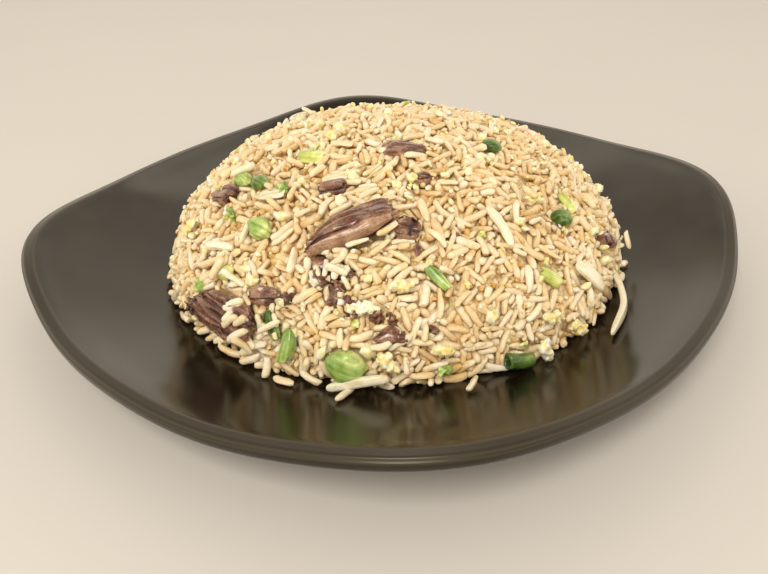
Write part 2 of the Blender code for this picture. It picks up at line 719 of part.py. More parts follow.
def build():
    """Makes the plate, the toppings and the mound that they lie in."""
    clear_scene()
    glaze = make_material("plate_glaze", (0.018, 0.016, 0.014), 0.3)
    rice = make_material("rice", (0.72, 0.56, 0.36), 0.5)
    beef = make_material("beef", (0.17, 0.08, 0.05), 0.3)
    green = make_material("greens", (0.22, 0.36, 0.06), 0.3)
    egg = make_material("egg", (0.85, 0.68, 0.27), 0.5)
    sprout = make_material("sprout", (0.8, 0.72, 0.5), 0.3)
    make_plate(glaze)
    toppings = []
    for piece in BEEF:
        section = FOLDED_SECTION if piece.name == "beef_top" else round_section(8, 0.7)
        toppings.append(make_slab(piece, section, 7 if piece.length > 20 else 4, beef))
    for piece in GREENS:
        toppings.append(make_slab(piece, round_section(7, 0.85), 4, green))
    for piece in EGGS:
        toppings.append(make_slab(piece, round_section(6, 0.95), 4, egg))
    for piece in SPROUTS:
        toppings.append(make_slab(piece, round_section(6, 0.9), 5, sprout))
    toppings.append(make_hanging_sprout(sprout))
    mound = make_mound(rice)
    fuse_small_pieces(mound, toppings)
    cut_beds(mound, toppings)
    keep_largest_shell(mound)


build()
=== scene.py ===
"""Looks of a plate of beef and egg fried rice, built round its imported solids.

Lengths are millimetres until a mesh is written, which is in metres. The plate's corners are
on +X, +Y, -X and -Y, +Z is up, and the table is at Z = 0.
"""

import itertools
import logging
import math
from dataclasses import dataclass, field, replace
from enum import Enum
from typing import Sequence

import bmesh
import bpy
import numpy as np
from mathutils import Matrix, Vector


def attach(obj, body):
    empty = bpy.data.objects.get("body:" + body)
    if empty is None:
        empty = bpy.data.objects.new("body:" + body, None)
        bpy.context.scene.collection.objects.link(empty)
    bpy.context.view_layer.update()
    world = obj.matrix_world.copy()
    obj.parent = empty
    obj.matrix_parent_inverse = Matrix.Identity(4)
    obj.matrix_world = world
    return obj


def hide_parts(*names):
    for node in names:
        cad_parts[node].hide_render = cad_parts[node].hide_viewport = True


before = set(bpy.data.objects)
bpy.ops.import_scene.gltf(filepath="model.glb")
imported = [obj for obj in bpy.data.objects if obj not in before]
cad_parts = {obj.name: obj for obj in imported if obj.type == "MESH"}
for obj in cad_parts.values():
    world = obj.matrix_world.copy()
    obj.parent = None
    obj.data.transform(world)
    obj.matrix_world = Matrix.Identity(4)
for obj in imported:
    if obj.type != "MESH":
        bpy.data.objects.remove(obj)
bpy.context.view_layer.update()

LOG = logging.getLogger("fried_rice")
MM = 0.001
BODY = "root"
IMAGE_WIDTH = 768
SENSOR_WIDTH = 36.0
EVEN_CUTS = 0.65
FULL_TURN = 2 * math.pi

Array = np.ndarray
Colour = tuple[float, float, float]


class Noise:
    """Smooth noise from -1 to 1 on a seeded lattice."""

    TABLE = 4096

    def __init__(self, seed: int) -> None:
        """Draws the lattice values.

        Args:
            seed: The draw's seed.
        """
        self.values = np.random.default_rng(seed).random(self.TABLE)

    def at(self, points: Array) -> Array:
        """Reads the noise.

        Args:
            points: Places, one row each, in lattice steps.

        Returns:
            One value for each row.
        """
        cell = np.floor(points).astype(np.int64)
        part = points - cell
        fade = part * part * (3 - 2 * part)
        total = np.zeros(len(points))
        for corner in itertools.product((0, 1), repeat=3):
            at = cell + np.array(corner)
            key = (at[:, 0] * 73856093) ^ (at[:, 1] * 19349663) ^ (at[:, 2] * 83492791)
            weight = np.prod(np.where(np.array(corner) == 1, fade, 1 - fade), axis=1)
            total += weight * self.values[key % self.TABLE]
        return 2 * total - 1

    def layers(self, points: Array, count: int) -> Array:
        """Adds finer, weaker layers of noise, each at twice the last one's scale."""
        return sum(self.at(points * 2**i + 17.3 * i) / 2**i for i in range(count))


def smooth_step(low: Array | float, high: Array | float, numbers: Array) -> Array:
    """Rises smoothly from 0 to 1 between two numbers."""
    share = np.clip((numbers - low) / (high - low), 0, 1)
    return share * share * (3 - 2 * share)


@dataclass
class PlateShape:
    """The plate's form: a square with round sides, raised corners, a flat lip and a ring foot."""

    rim_radius: float = 135.0
    rim_waves: tuple[tuple[int, float], ...] = ((4, 0.0318), (8, 0.0066), (12, 0.0023))
    rim_height: float = 25.0
    rim_rise: tuple[tuple[int, float], ...] = ((4, 3.3), (8, 0.8))
    lip_width: float = 5.2
    lip_crown: float = 0.5
    well_height: float = 8.2
    well_share: float = 0.5
    wall_power: float = 1.75
    thickness: float = 4.0
    foot_radius: float = 78.0
    foot_width: float = 4.5
    even_lip_share: float = 0.88

    @property
    def lip_share(self) -> float:
        """Share of the plate's reach at which the lip starts."""
        return 1 - self.lip_width / self.rim_radius

    def wave(self, terms: Sequence[tuple[int, float]], angle: Array) -> Array:
        """Sum of cosine waves round the plate."""
        return sum(size * np.cos(count * angle) for count, size in terms)

    def wall_rise(self, share: Array) -> Array:
        """Share of the wall's height reached at a share of the plate's reach."""
        along = (share - self.well_share) / (self.lip_share - self.well_share)
        return np.clip(along, 0, 1) ** self.wall_power

    def top(self, share: Array, angle: Array) -> Array:
        """Height of the upper face inside the lip."""
        rim = self.rim_height + self.wave(self.rim_rise, angle)
        return self.well_height + (rim - self.lip_crown - self.well_height) * self.wall_rise(share)

    def top_at(self, x: Array, y: Array) -> Array:
        """Height of the upper face under a point.

        Args:
            x: Places along X.
            y: Places along Y.

        Returns:
            The face's height at each place.
        """
        angle = np.arctan2(y, x)
        distance = np.hypot(x, y)
        share = distance / self.rim_radius
        for _ in range(3):
            share = distance / (self.rim_radius * (1 + self.wave(self.rim_waves, angle) * share**2))
        return self.top(share, angle)

    def warp(self, points: Array) -> Array:
        """Turns a round, level plate into the real one.

        Args:
            points: Points of the turned plate, one row each.

        Returns:
            The points of the square plate.
        """
        angle = np.arctan2(points[:, 1], points[:, 0])
        radius = np.hypot(points[:, 0], points[:, 1])
        share = radius / self.rim_radius
        waves = self.wave(self.rim_waves, angle)
        inner = radius * (1 + waves * share**2)
        outer = self.rim_radius * (1 + waves) - (self.rim_radius - radius)
        blend = smooth_step(self.even_lip_share, self.lip_share, share)
        reach = inner + (outer - inner) * blend
        height = points[:, 2] + self.wave(self.rim_rise, angle) * self.wall_rise(share)
        return np.stack([reach * np.cos(angle), reach * np.sin(angle), height], -1)


@dataclass
class MoundShape:
    """The mound's form: a flattened dome turned out of a bowl, with low swells and dips."""

    plate: PlateShape
    centre: tuple[float, float] = (2.6, -0.7)
    radii: tuple[float, float] = (90.6, 94.2)
    height: float = 52.8
    foot: float = 8.7
    swells: tuple[tuple[float, float, float, float], ...] = (
        (35, 58, 1.6, 24),
        (-10, 75, 0.8, 20),
        (-128, 84, -1.6, 16),
        (-150, 52, 1.0, 20),
        (-100, 62, 0.8, 18),
        (120, 66, 1.5, 26),
        (180, 78, -0.9, 22),
        (70, 30, -0.8, 24),
    )

    def swell(self, around: Array, down: Array) -> Array:
        """Height of the swells and dips, from angles in radians."""
        total = np.zeros(np.broadcast(around, down).shape)
        for swell_around, swell_down, height, spread in self.swells:
            turn = (around - math.radians(swell_around) + math.pi) % FULL_TURN - math.pi
            distance = np.hypot(turn * np.sin(down), down - math.radians(swell_down))
            total = total + height * np.exp(-((distance / math.radians(spread)) ** 2))
        return total

    def point(self, around: Array, down: Array, lift: Array = 0.0) -> Array:
        """Points on the face.

        Args:
            around: Angles round the mound, in radians, 0 on +X.
            down: Angles down from the crown, in radians, a right angle at the foot.
            lift: Distances off the face.

        Returns:
            One point for each pair of angles.
        """
        lift = lift + self.swell(around, down)
        x = self.centre[0] + self.radii[0] * np.sin(down) * np.cos(around)
        y = self.centre[1] + self.radii[1] * np.sin(down) * np.sin(around)
        base = self.plate.top_at(x, y) + 0.5
        z = base + (self.height + self.foot - base) * np.cos(down)
        out = np.stack(
            [
                np.sin(down) * np.cos(around) / self.radii[0],
                np.sin(down) * np.sin(around) / self.radii[1],
                np.cos(down) / self.height,
            ],
            -1,
        )
        out /= np.linalg.norm(out, axis=-1, keepdims=True)
        return np.stack([x, y, z], -1) + np.asarray(lift)[..., None] * out

    def depth(self, points: Array) -> tuple[Array, Array]:
        """Depth below the face and the outward direction.

        Args:
            points: Places, one row each.

        Returns:
            The depth, negative outside, and the outward unit direction at each place.
        """
        middle = np.array([self.centre[0], self.centre[1], self.foot])
        radii = np.array([self.radii[0], self.radii[1], self.height])
        local = (points - middle) / radii
        size = np.maximum(np.linalg.norm(local, axis=1), 1e-6)
        slope = local / radii / size[:, None]
        steep = np.linalg.norm(slope, axis=1)
        around = np.arctan2(local[:, 1], local[:, 0])
        down = np.arccos(np.clip(local[:, 2] / size, -1, 1))
        depth = (1 - size) / steep + self.swell(around, down)
        return depth, slope / steep[:, None]

    def axes(self, around: float, down: float) -> tuple[Vector, Vector, Vector]:
        """Level, upward and outward directions on the face, from angles in radians."""
        step = 1e-3
        level = Vector(self.point(around + step, down) - self.point(around - step, down)).normalized()
        upward = Vector(self.point(around, down - step) - self.point(around, down + step))
        outward = level.cross(upward).normalized()
        return level, outward.cross(level), outward

    def spread(self, draw: np.random.Generator, count: int, lowest: float = 90.0) -> tuple[Array, Array]:
        """Random angles spread evenly over the face.

        Args:
            draw: The source of random numbers.
            count: How many to make.
            lowest: Degrees down from the crown of the lowest one.

        Returns:
            Angles round and down, in radians.
        """
        down = np.linspace(0, math.radians(lowest), 400)
        radius = sum(self.radii) / 2
        slope = np.hypot(radius * np.cos(down), self.height * np.sin(down))
        area = np.cumsum(np.sin(down) * slope)
        return draw.random(count) * FULL_TURN, np.interp(draw.random(count) * area[-1], area, down)


@dataclass(frozen=True)
class Spot:
    """A place on the mound and how a piece lies there, in degrees and millimetres."""

    around: float
    down: float
    turn: float
    lift: float
    roll: float = 0.0
    pitch: float = 0.0

    def matrix(self, mound: MoundShape) -> Matrix:
        """Matrix that puts a piece's length on X, its width on Y and its upper face on +Z."""
        around = math.radians(self.around)
        down = math.radians(self.down)
        level, upward, outward = mound.axes(around, down)
        frame_matrix = Matrix((level, upward, outward)).transposed().to_4x4()
        place = Matrix.Translation(Vector(mound.point(around, down, self.lift)))
        turn = Matrix.Rotation(math.radians(self.turn), 4, "Z")
        pitch = Matrix.Rotation(-math.radians(self.pitch), 4, "Y")
        roll = Matrix.Rotation(math.radians(self.roll), 4, "X")
        return place @ frame_matrix @ turn @ pitch @ roll


def to_world(matrix: Matrix, points: Array) -> Array:
    """Applies a matrix to rows of points."""
    full = np.array(matrix)
    return points @ full[:3, :3].T + full[:3, 3]


def mesh_points(mesh: bmesh.types.BMesh) -> Array:
    """Places of a bmesh's vertices, one row each."""
    return np.array([vert.co[:] for vert in mesh.verts], float).reshape(-1, 3)


def move_points(mesh: bmesh.types.BMesh, points: Array) -> None:
    """Moves a bmesh's vertices to new places."""
    for vert, point in zip(mesh.verts, points):
        vert.co = point


def vertex_normals(mesh: bmesh.types.BMesh) -> Array:
    """Outward directions at a bmesh's vertices, one row each."""
    mesh.normal_update()
    return np.array([vert.normal[:] for vert in mesh.verts], float).reshape(-1, 3)


def add_object(
    name: str,
    mesh: bmesh.types.BMesh,
    material: bpy.types.Material,
    values: dict[str, Array] | None = None,
) -> bpy.types.Object:
    """Writes a bmesh in millimetres as an object in metres.

    Args:
        name: The piece's name.
        mesh: The shape, which is freed.
        material: Its finish.
        values: Numbers for each vertex, by attribute name.

    Returns:
        The object.
    """
    bmesh.ops.recalc_face_normals(mesh, faces=mesh.faces)
    data = bpy.data.meshes.new(name)
    mesh.to_mesh(data)
    mesh.free()
    data.transform(Matrix.Scale(MM, 4))
    data.shade_smooth()
    return add_mesh(name, data, material, values or {})


def add_mesh(
    name: str, data: bpy.types.Mesh, material: bpy.types.Material, values: dict[str, Array]
) -> bpy.types.Object:
    """Makes an object of a finished mesh.

    Args:
        name: The object's name.
        data: The mesh, in metres.
        material: Its finish.
        values: Numbers for each vertex, by attribute name.

    Returns:
        The object.
    """
    for key, numbers in values.items():
        layer = data.attributes.new(key, "FLOAT", "POINT")
        layer.data.foreach_set("value", np.asarray(numbers, np.float32))
    data.materials.append(material)
    item = bpy.data.objects.new(name, data)
    bpy.context.scene.collection.objects.link(item)
    return item


def take_template(template: bmesh.types.BMesh) -> tuple[Array, list[list[int]]]:
    """A small shape's points and faces, after which it is freed."""
    points = mesh_points(template)
    faces = [[vert.index for vert in face.verts] for face in template.faces]
    template.free()
    return points, faces


def join_copies(name: str, points: Array, faces: list[list[int]]) -> bpy.types.Mesh:
    """Joins many shapes with the same faces in one smooth mesh.

    Args:
        name: The mesh's name.
        points: Places in millimetres, by shape, point and axis.
        faces: One shape's faces.

    Returns:
        The mesh, in metres.
    """
    count, per, _ = points.shape
    corners = np.concatenate([np.array(face) for face in faces])
    sizes = np.array([len(face) for face in faces])
    loops = (corners[None] + (np.arange(count) * per)[:, None]).ravel()
    starts = np.concatenate([[0], np.cumsum(np.tile(sizes, count))[:-1]])
    data = bpy.data.meshes.new(name)
    data.vertices.add(count * per)
    data.loops.add(len(loops))
    data.polygons.add(len(starts))
    data.vertices.foreach_set("co", (points.reshape(-1, 3) * MM).astype(np.float32).ravel())
    data.loops.foreach_set("vertex_index", loops.astype(np.int32))
    data.polygons.foreach_set("loop_start", starts.astype(np.int32))
    data.update(calc_edges=True)
    data.shade_smooth()
    return data


def dress(item: bpy.types.Object, slot: str, *nodes: str) -> None:
    """Rides a piece on the body and hides the nodes that it replaces, naming them in the log."""
    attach(item, BODY)
    if nodes:
        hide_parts(*nodes)
    LOG.info("%s: %d faces, stands for %s", item.name, len(item.data.polygons), ", ".join(nodes) or "none")


def rounded_block(cuts: int, power: float) -> tuple[bmesh.types.BMesh, Array]:
    """A closed block between an ellipsoid and a box, two units each way.

    Args:
        cuts: How often each of its edges is cut.
        power: 2 for a ball, more for squarer.

    Returns:
        The bmesh, and its points from -1 to 1.
    """
    mesh = bmesh.new()
    bmesh.ops.create_cube(mesh, size=2.0)
    bmesh.ops.subdivide_edges(mesh, edges=mesh.edges[:], cuts=cuts, use_grid_fill=True)
    points = np.tan(mesh_points(mesh) * EVEN_CUTS) / math.tan(EVEN_CUTS)
    size = (np.abs(points) ** power).sum(1) ** (1 / power)
    points = points / size[:, None]
    return mesh, points


class Sheet:
    """A node tree being filled in, from left to right."""

    def __init__(self, name: str) -> None:
        """Starts a material whose shader is a Principled one.

        Args:
            name: The material's name.
        """
        self.material = bpy.data.materials.new(name)
        self.material.use_nodes = True
        self.tree = self.material.node_tree
        self.tree.nodes.clear()
        self.shader = self.tree.nodes.new("ShaderNodeBsdfPrincipled")
        output = self.tree.nodes.new("ShaderNodeOutputMaterial")
        self.tree.links.new(self.shader.outputs["BSDF"], output.inputs["Surface"])
        self.place = self.tree.nodes.new("ShaderNodeTexCoord").outputs["Object"]

    def node(self, kind: str, **settings: object) -> bpy.types.Node:
        """Adds a node and sets its own options."""
        made = self.tree.nodes.new(kind)
        for key, value in settings.items():
            setattr(made, key, value)
        return made

    def noise(self, step: float, detail: float = 2.0, roughness: float = 0.5) -> bpy.types.NodeSocket:
        """Noise on Object coordinates with features of a size in millimetres."""
        made = self.node("ShaderNodeTexNoise")
        made.inputs["Scale"].default_value = 1 / (step * MM)
        made.inputs["Detail"].default_value = detail
        made.inputs["Roughness"].default_value = roughness
        self.tree.links.new(self.place, made.inputs["Vector"])
        return made.outputs["Fac"]

    def value(self, name: str) -> bpy.types.NodeSocket:
        """A number stored on the mesh."""
        return self.node("ShaderNodeAttribute", attribute_name=name).outputs["Fac"]

    def ramp(
        self, source: bpy.types.NodeSocket, stops: Sequence[tuple[float, tuple[float, ...]]]
    ) -> bpy.types.NodeSocket:
        """Colour ramp over a number.

        Args:
            source: The number.
            stops: Places from 0 to 1 with their colours.

        Returns:
            The colour.
        """
        made = self.node("ShaderNodeValToRGB")
        points = made.color_ramp.elements
        while len(points) < len(stops):
            points.new(0.5)
        for point, (place, colour) in zip(points, stops):
            point.position = place
            point.color = (*colour, 1.0)
        self.tree.links.new(source, made.inputs["Fac"])
        return made.outputs["Color"]

    def remap(
        self, source: bpy.types.NodeSocket, low: float, high: float, to_low: float, to_high: float
    ) -> bpy.types.NodeSocket:
        """Stretches one range of a number on to another."""
        made = self.node("ShaderNodeMapRange")
        for key, number in (("From Min", low), ("From Max", high), ("To Min", to_low), ("To Max", to_high)):
            made.inputs[key].default_value = number
        self.tree.links.new(source, made.inputs["Value"])
        return made.outputs["Result"]

    def uneven(self, step: float, low: float, high: float, detail: float = 2.0) -> bpy.types.NodeSocket:
        """A number that wanders between two values, with features of a size in millimetres."""
        return self.remap(self.noise(step, detail), 0.3, 0.7, low, high)

    def math(self, operation: str, first: bpy.types.NodeSocket, second: object) -> bpy.types.NodeSocket:
        """Arithmetic on two numbers, the second a socket or a plain number."""
        made = self.node("ShaderNodeMath", operation=operation)
        self.tree.links.new(first, made.inputs[0])
        if isinstance(second, bpy.types.NodeSocket):
            self.tree.links.new(second, made.inputs[1])
        else:
            made.inputs[1].default_value = second
        return made.outputs["Value"]

    def mix(
        self,
        share: bpy.types.NodeSocket | float,
        first: bpy.types.NodeSocket | tuple[float, float, float],
        second: bpy.types.NodeSocket | tuple[float, float, float],
        blend: str = "MIX",
    ) -> bpy.types.NodeSocket:
        """Mixes two colours.

        Args:
            share: How much of the second.
            first: The first colour.
            second: The second colour.
            blend: The way of mixing.

        Returns:
            The mixed colour.
        """
        made = self.node("ShaderNodeMix", data_type="RGBA", blend_type=blend)
        sockets = ((made.inputs[0], share), (made.inputs[6], first), (made.inputs[7], second))
        for target, source in sockets:
            if isinstance(source, bpy.types.NodeSocket):
                self.tree.links.new(source, target)
            elif isinstance(source, tuple):
                target.default_value = (*source, 1.0)
            else:
                target.default_value = source
        return made.outputs[2]

    def bump(self, height: bpy.types.NodeSocket, depth: float, strength: float = 1.0) -> None:
        """Raises the surface by a number, over a depth in millimetres."""
        made = self.node("ShaderNodeBump")
        made.inputs["Strength"].default_value = strength
        made.inputs["Distance"].default_value = depth * MM
        self.tree.links.new(height, made.inputs["Height"])
        self.tree.links.new(made.outputs["Normal"], self.shader.inputs["Normal"])

    def link(self, source: bpy.types.NodeSocket, name: str) -> None:
        """Feeds one of the shader's sockets."""
        self.tree.links.new(source, self.shader.inputs[name])

    def fix(self, **numbers: float | tuple[float, ...]) -> None:
        """Sets shader sockets to constant values, by name with underscores for spaces."""
        for key, number in numbers.items():
            self.shader.inputs[key.replace("_", " ")].default_value = number


@dataclass(frozen=True)
class RiceFinish:
    """Cooked rice: soft, half clear, lightly oiled, and painted darker where it lies deeper, as painted
    shade.
    """

    name: str
    dark: Colour
    middle: Colour
    light: Colour

    def make(self) -> bpy.types.Material:
        """Builds the material."""
        sheet = Sheet(self.name)
        # Each grain's own tone, plus painted shade that darkens it with depth between the grains.
        tint_and_depth_shade = sheet.math("ADD", sheet.value("tint_and_depth_shade"), sheet.uneven(1.3, -0.2, 0.2, 3.0))
        colour = sheet.ramp(tint_and_depth_shade, ((0.0, self.dark), (0.5, self.middle), (1.0, self.light)))
        stain = sheet.ramp(sheet.noise(6.0, 3.0), ((0.46, (0.96, 0.93, 0.90)), (0.72, (0.93, 0.82, 0.58))))
        sheet.link(sheet.mix(1.0, colour, stain, "MULTIPLY"), "Base Color")
        sheet.link(sheet.uneven(1.2, 0.14, 0.42), "Roughness")
        sheet.fix(Subsurface_Weight=0.45, Subsurface_Radius=(0.0017, 0.0013, 0.0009), Subsurface_Scale=1.0)
        sheet.fix(IOR=1.4, Specular_IOR_Level=0.55)
        sheet.bump(sheet.noise(0.5, 4.0, 0.6), 0.14, 0.8)
        return sheet.material


@dataclass(frozen=True)
class CoreFinish:
    """Shaded, soy-stained rice seen deep between the grains."""

    deep: Colour = (0.68, 0.46, 0.20)
    high: Colour = (0.90, 0.75, 0.48)

    def make(self) -> bpy.types.Material:
        """Builds the material."""
        sheet = Sheet("core_finish")
        # Lower lumps take the deeper colour: painted shade in the hollows, over the soy-stained tone.
        level = sheet.math("ADD", sheet.value("relief"), sheet.uneven(3.0, -0.2, 0.2))
        sheet.link(sheet.ramp(level, ((0.1, self.deep), (0.8, self.high))), "Base Color")
        sheet.fix(Roughness=0.4, Subsurface_Weight=0.4, Subsurface_Scale=1.0)
        sheet.fix(Subsurface_Radius=(0.0018, 0.0012, 0.0007))
        sheet.bump(sheet.noise(0.9, 4.0), 0.5)
        return sheet.material


@dataclass(frozen=True)
class BeefFinish:
    """Stir-fried beef: brown, grained along its fibres and wet with sauce, with its creases painted near
    black as shade.
    """

    # The darkest stop is painted shade for the creases between bundles of fibres.
    crease_shade_colour: Colour = (0.028, 0.006, 0.003)
    lean: Colour = (0.145, 0.052, 0.030)
    face: Colour = (0.430, 0.255, 0.150)
    fat: Colour = (0.640, 0.470, 0.310)

    def make(self) -> bpy.types.Material:
        """Builds the material."""
        sheet = Sheet("beef_finish")
        patch = sheet.uneven(5.0, -0.16, 0.16, 3.0)
        tone = sheet.math("ADD", sheet.value("fibre"), patch)
        tone = sheet.math("ADD", tone, sheet.uneven(0.7, -0.1, 0.1, 3.0))
        stops = ((0.08, self.crease_shade_colour), (0.38, self.lean), (0.72, self.face), (1.0, self.fat))
        sheet.link(sheet.ramp(tone, stops), "Base Color")
        sauce = sheet.math("MULTIPLY", sheet.value("wet"), 0.24)
        dull = sheet.math("SUBTRACT", sheet.remap(sheet.noise(1.6, 3.0), 0.35, 0.65, 0.26, 0.48), sauce)
        sheet.link(dull, "Roughness")
        sheet.fix(Coat_Weight=0.7, Coat_Roughness=0.1, Coat_IOR=1.45, Specular_IOR_Level=0.5)
        sheet.fix(Subsurface_Weight=0.12, Subsurface_Radius=(0.0016, 0.0007, 0.0004), Subsurface_Scale=1.0)
        sheet.bump(sheet.noise(0.7, 4.0, 0.6), 0.13, 0.8)
        return sheet.material


@dataclass(frozen=True)
class GreenFinish:
    """Cooked scallion: streaked along its length, dark skin to pale flesh, wet."""

    name: str
    skin: Colour
    flesh: Colour
    pale: Colour

    def make(self) -> bpy.types.Material:
        """Builds the material."""
        sheet = Sheet(self.name)
        tone = sheet.math("ADD", sheet.value("streak"), sheet.uneven(2.6, -0.18, 0.18))
        sheet.link(sheet.ramp(tone, ((0.1, self.skin), (0.55, self.flesh), (0.95, self.pale))), "Base Color")
        sheet.link(sheet.uneven(1.6, 0.2, 0.38), "Roughness")
        sheet.fix(Subsurface_Weight=0.3, Subsurface_Radius=(0.0010, 0.0018, 0.0005), Subsurface_Scale=1.0)
        sheet.fix(Coat_Weight=0.35, Coat_Roughness=0.1)
        sheet.bump(sheet.noise(0.6, 2.0), 0.05, 0.5)
        return sheet.material


@dataclass(frozen=True)
class EggFinish:
    """Soft scrambled egg in yellow and cream-white, with the yellow painted into its hollows as shade and the
    white on its crests as highlight.
    """

    name: str = "egg_finish"
    shaded_hollow: Colour = (0.86, 0.62, 0.18)
    curd: Colour = (0.95, 0.84, 0.44)
    highlit_crest: Colour = (0.99, 0.97, 0.82)

    def make(self) -> bpy.types.Material:
        """Builds the material."""
        sheet = Sheet(self.name)
        mottle = sheet.uneven(1.5, -0.2, 0.2, 3.0)
        level = sheet.math("ADD", sheet.value("relief"), mottle)
        stops = ((0.1, self.shaded_hollow), (0.45, self.curd), (0.85, self.highlit_crest))
        sheet.link(sheet.ramp(level, stops), "Base Color")
        sheet.fix(Roughness=0.38, Subsurface_Weight=0.5, Subsurface_Scale=1.0)
        sheet.fix(Subsurface_Radius=(0.0024, 0.0019, 0.0010), Specular_IOR_Level=0.5)
        sheet.bump(sheet.noise(0.35, 4.0, 0.6), 0.2, 0.8)
        return sheet.material


@dataclass(frozen=True)
class SproutFinish:
    """Bean sprout and onion: pale, half clear and moist."""

    dark: Colour = (0.66, 0.52, 0.26)
    light: Colour = (0.90, 0.84, 0.66)

    def make(self) -> bpy.types.Material:
        """Builds the material."""
        sheet = Sheet("sprout_finish")
        tone = sheet.math("ADD", sheet.value("streak"), sheet.uneven(2.0, -0.15, 0.15))
        sheet.link(sheet.ramp(tone, ((0.1, self.dark), (0.7, self.light))), "Base Color")
        sheet.fix(Roughness=0.22, Subsurface_Weight=0.5, Subsurface_Scale=1.0)
        sheet.fix(Subsurface_Radius=(0.0030, 0.0022, 0.0012), Coat_Weight=0.3, Coat_Roughness=0.1)
        sheet.bump(sheet.noise(0.8, 2.0), 0.05, 0.5)
        return sheet.material


@dataclass(frozen=True)
class GlazeFinish:
    """The plate's warm black semi-gloss glaze, fine-pored, worn bare on the foot, with a painted sheen that
    lightens the lip.
    """

    dark: Colour = (0.005, 0.003, 0.0015)
    light: Colour = (0.012, 0.009, 0.004)
    lip_sheen: Colour = (0.032, 0.026, 0.018)
    bare: Colour = (0.10, 0.085, 0.07)

    def make(self) -> bpy.types.Material:
        """Builds the material."""
        sheet = Sheet("glaze_finish")
        colour = sheet.ramp(sheet.noise(14.0, 4.0), ((0.35, self.dark), (0.7, self.light)))
        # The lip is painted lighter as a painted sheen, besides being made rougher.
        colour = sheet.mix(sheet.value("lip"), colour, self.lip_sheen)
        sheet.link(sheet.mix(sheet.value("wear"), colour, self.bare), "Base Color")
        gloss = sheet.uneven(22.0, 0.15, 0.22, 3.0)
        gloss = sheet.math("ADD", gloss, sheet.math("MULTIPLY", sheet.value("lip"), 0.16))
        sheet.link(sheet.math("ADD", gloss, sheet.math("MULTIPLY", sheet.value("wear"), 0.4)), "Roughness")
        sheet.fix(IOR=1.46, Specular_IOR_Level=0.5, Specular_Tint=(1.0, 0.93, 0.76, 1.0))
        sheet.bump(sheet.noise(0.9, 3.0), 0.012, 0.5)
        return sheet.material


@dataclass(frozen=True)
class FloorFinish:
    """A plain pale tabletop."""

    colour: Colour = (0.66, 0.635, 0.605)

    def make(self) -> bpy.types.Material:
        """Builds the material."""
        sheet = Sheet("floor_finish")
        lighter = tuple(part * 1.02 for part in self.colour)
        shade = sheet.ramp(sheet.noise(160.0), ((0.3, self.colour), (0.7, lighter)))
        sheet.link(shade, "Base Color")
        sheet.fix(Roughness=0.6)
        return sheet.material


@dataclass
class Obstacle:
    """A topping as the grains feel it: a rounded block."""

    matrix: Matrix
    halves: tuple[float, float, float]
    power: float = 3.0

    def push(self, points: Array, radii: Array) -> Array:
        """How far each ball must move to leave the block.

        Args:
            points: The balls' middles, one row each.
            radii: Their radii.

        Returns:
            One move for each ball.
        """
        full = np.array(self.matrix)
        moves = np.zeros_like(points)
        near = np.linalg.norm(points - full[:3, 3], axis=1) < max(self.halves) + radii + 1
        if not near.any():
            return moves
        local = (points[near] - full[:3, 3]) @ full[:3, :3]
        sizes = np.array(self.halves)[None] + radii[near][:, None]
        share = np.abs(local) / sizes
        level = np.maximum((share**self.power).sum(1) ** (1 / self.power), 1e-3)
        slope = np.sign(local) * share ** (self.power - 1) / sizes / level[:, None] ** (self.power - 1)
        steep = np.maximum(np.linalg.norm(slope, axis=1), 1e-3)
        deep = np.clip((1 - level) / steep, 0, 3)
        moves[near] = (slope / steep[:, None] * deep[:, None]) @ full[:3, :3].T
        return moves


GRAIN_FIELDS = ("middle", "direction", "length", "width", "fixed", "pull")


@dataclass
class Grains:
    """Many grains as middles, directions, lengths and widths."""

    middle: Array
    direction: Array
    length: Array
    width: Array
    fixed: Array
    pull: Array

    @staticmethod
    def join(parts: Sequence["Grains"]) -> "Grains":
        """Puts several sets in one."""
        return Grains(*(np.concatenate([getattr(part, name) for part in parts]) for name in GRAIN_FIELDS))

    def only(self, chosen: Array) -> "Grains":
        """The chosen ones."""
        return Grains(*(getattr(self, name)[chosen] for name in GRAIN_FIELDS))


def unit(rows: Array) -> Array:
    """Rows scaled to length one."""
    return rows / np.maximum(np.linalg.norm(rows, axis=-1, keepdims=True), 1e-9)


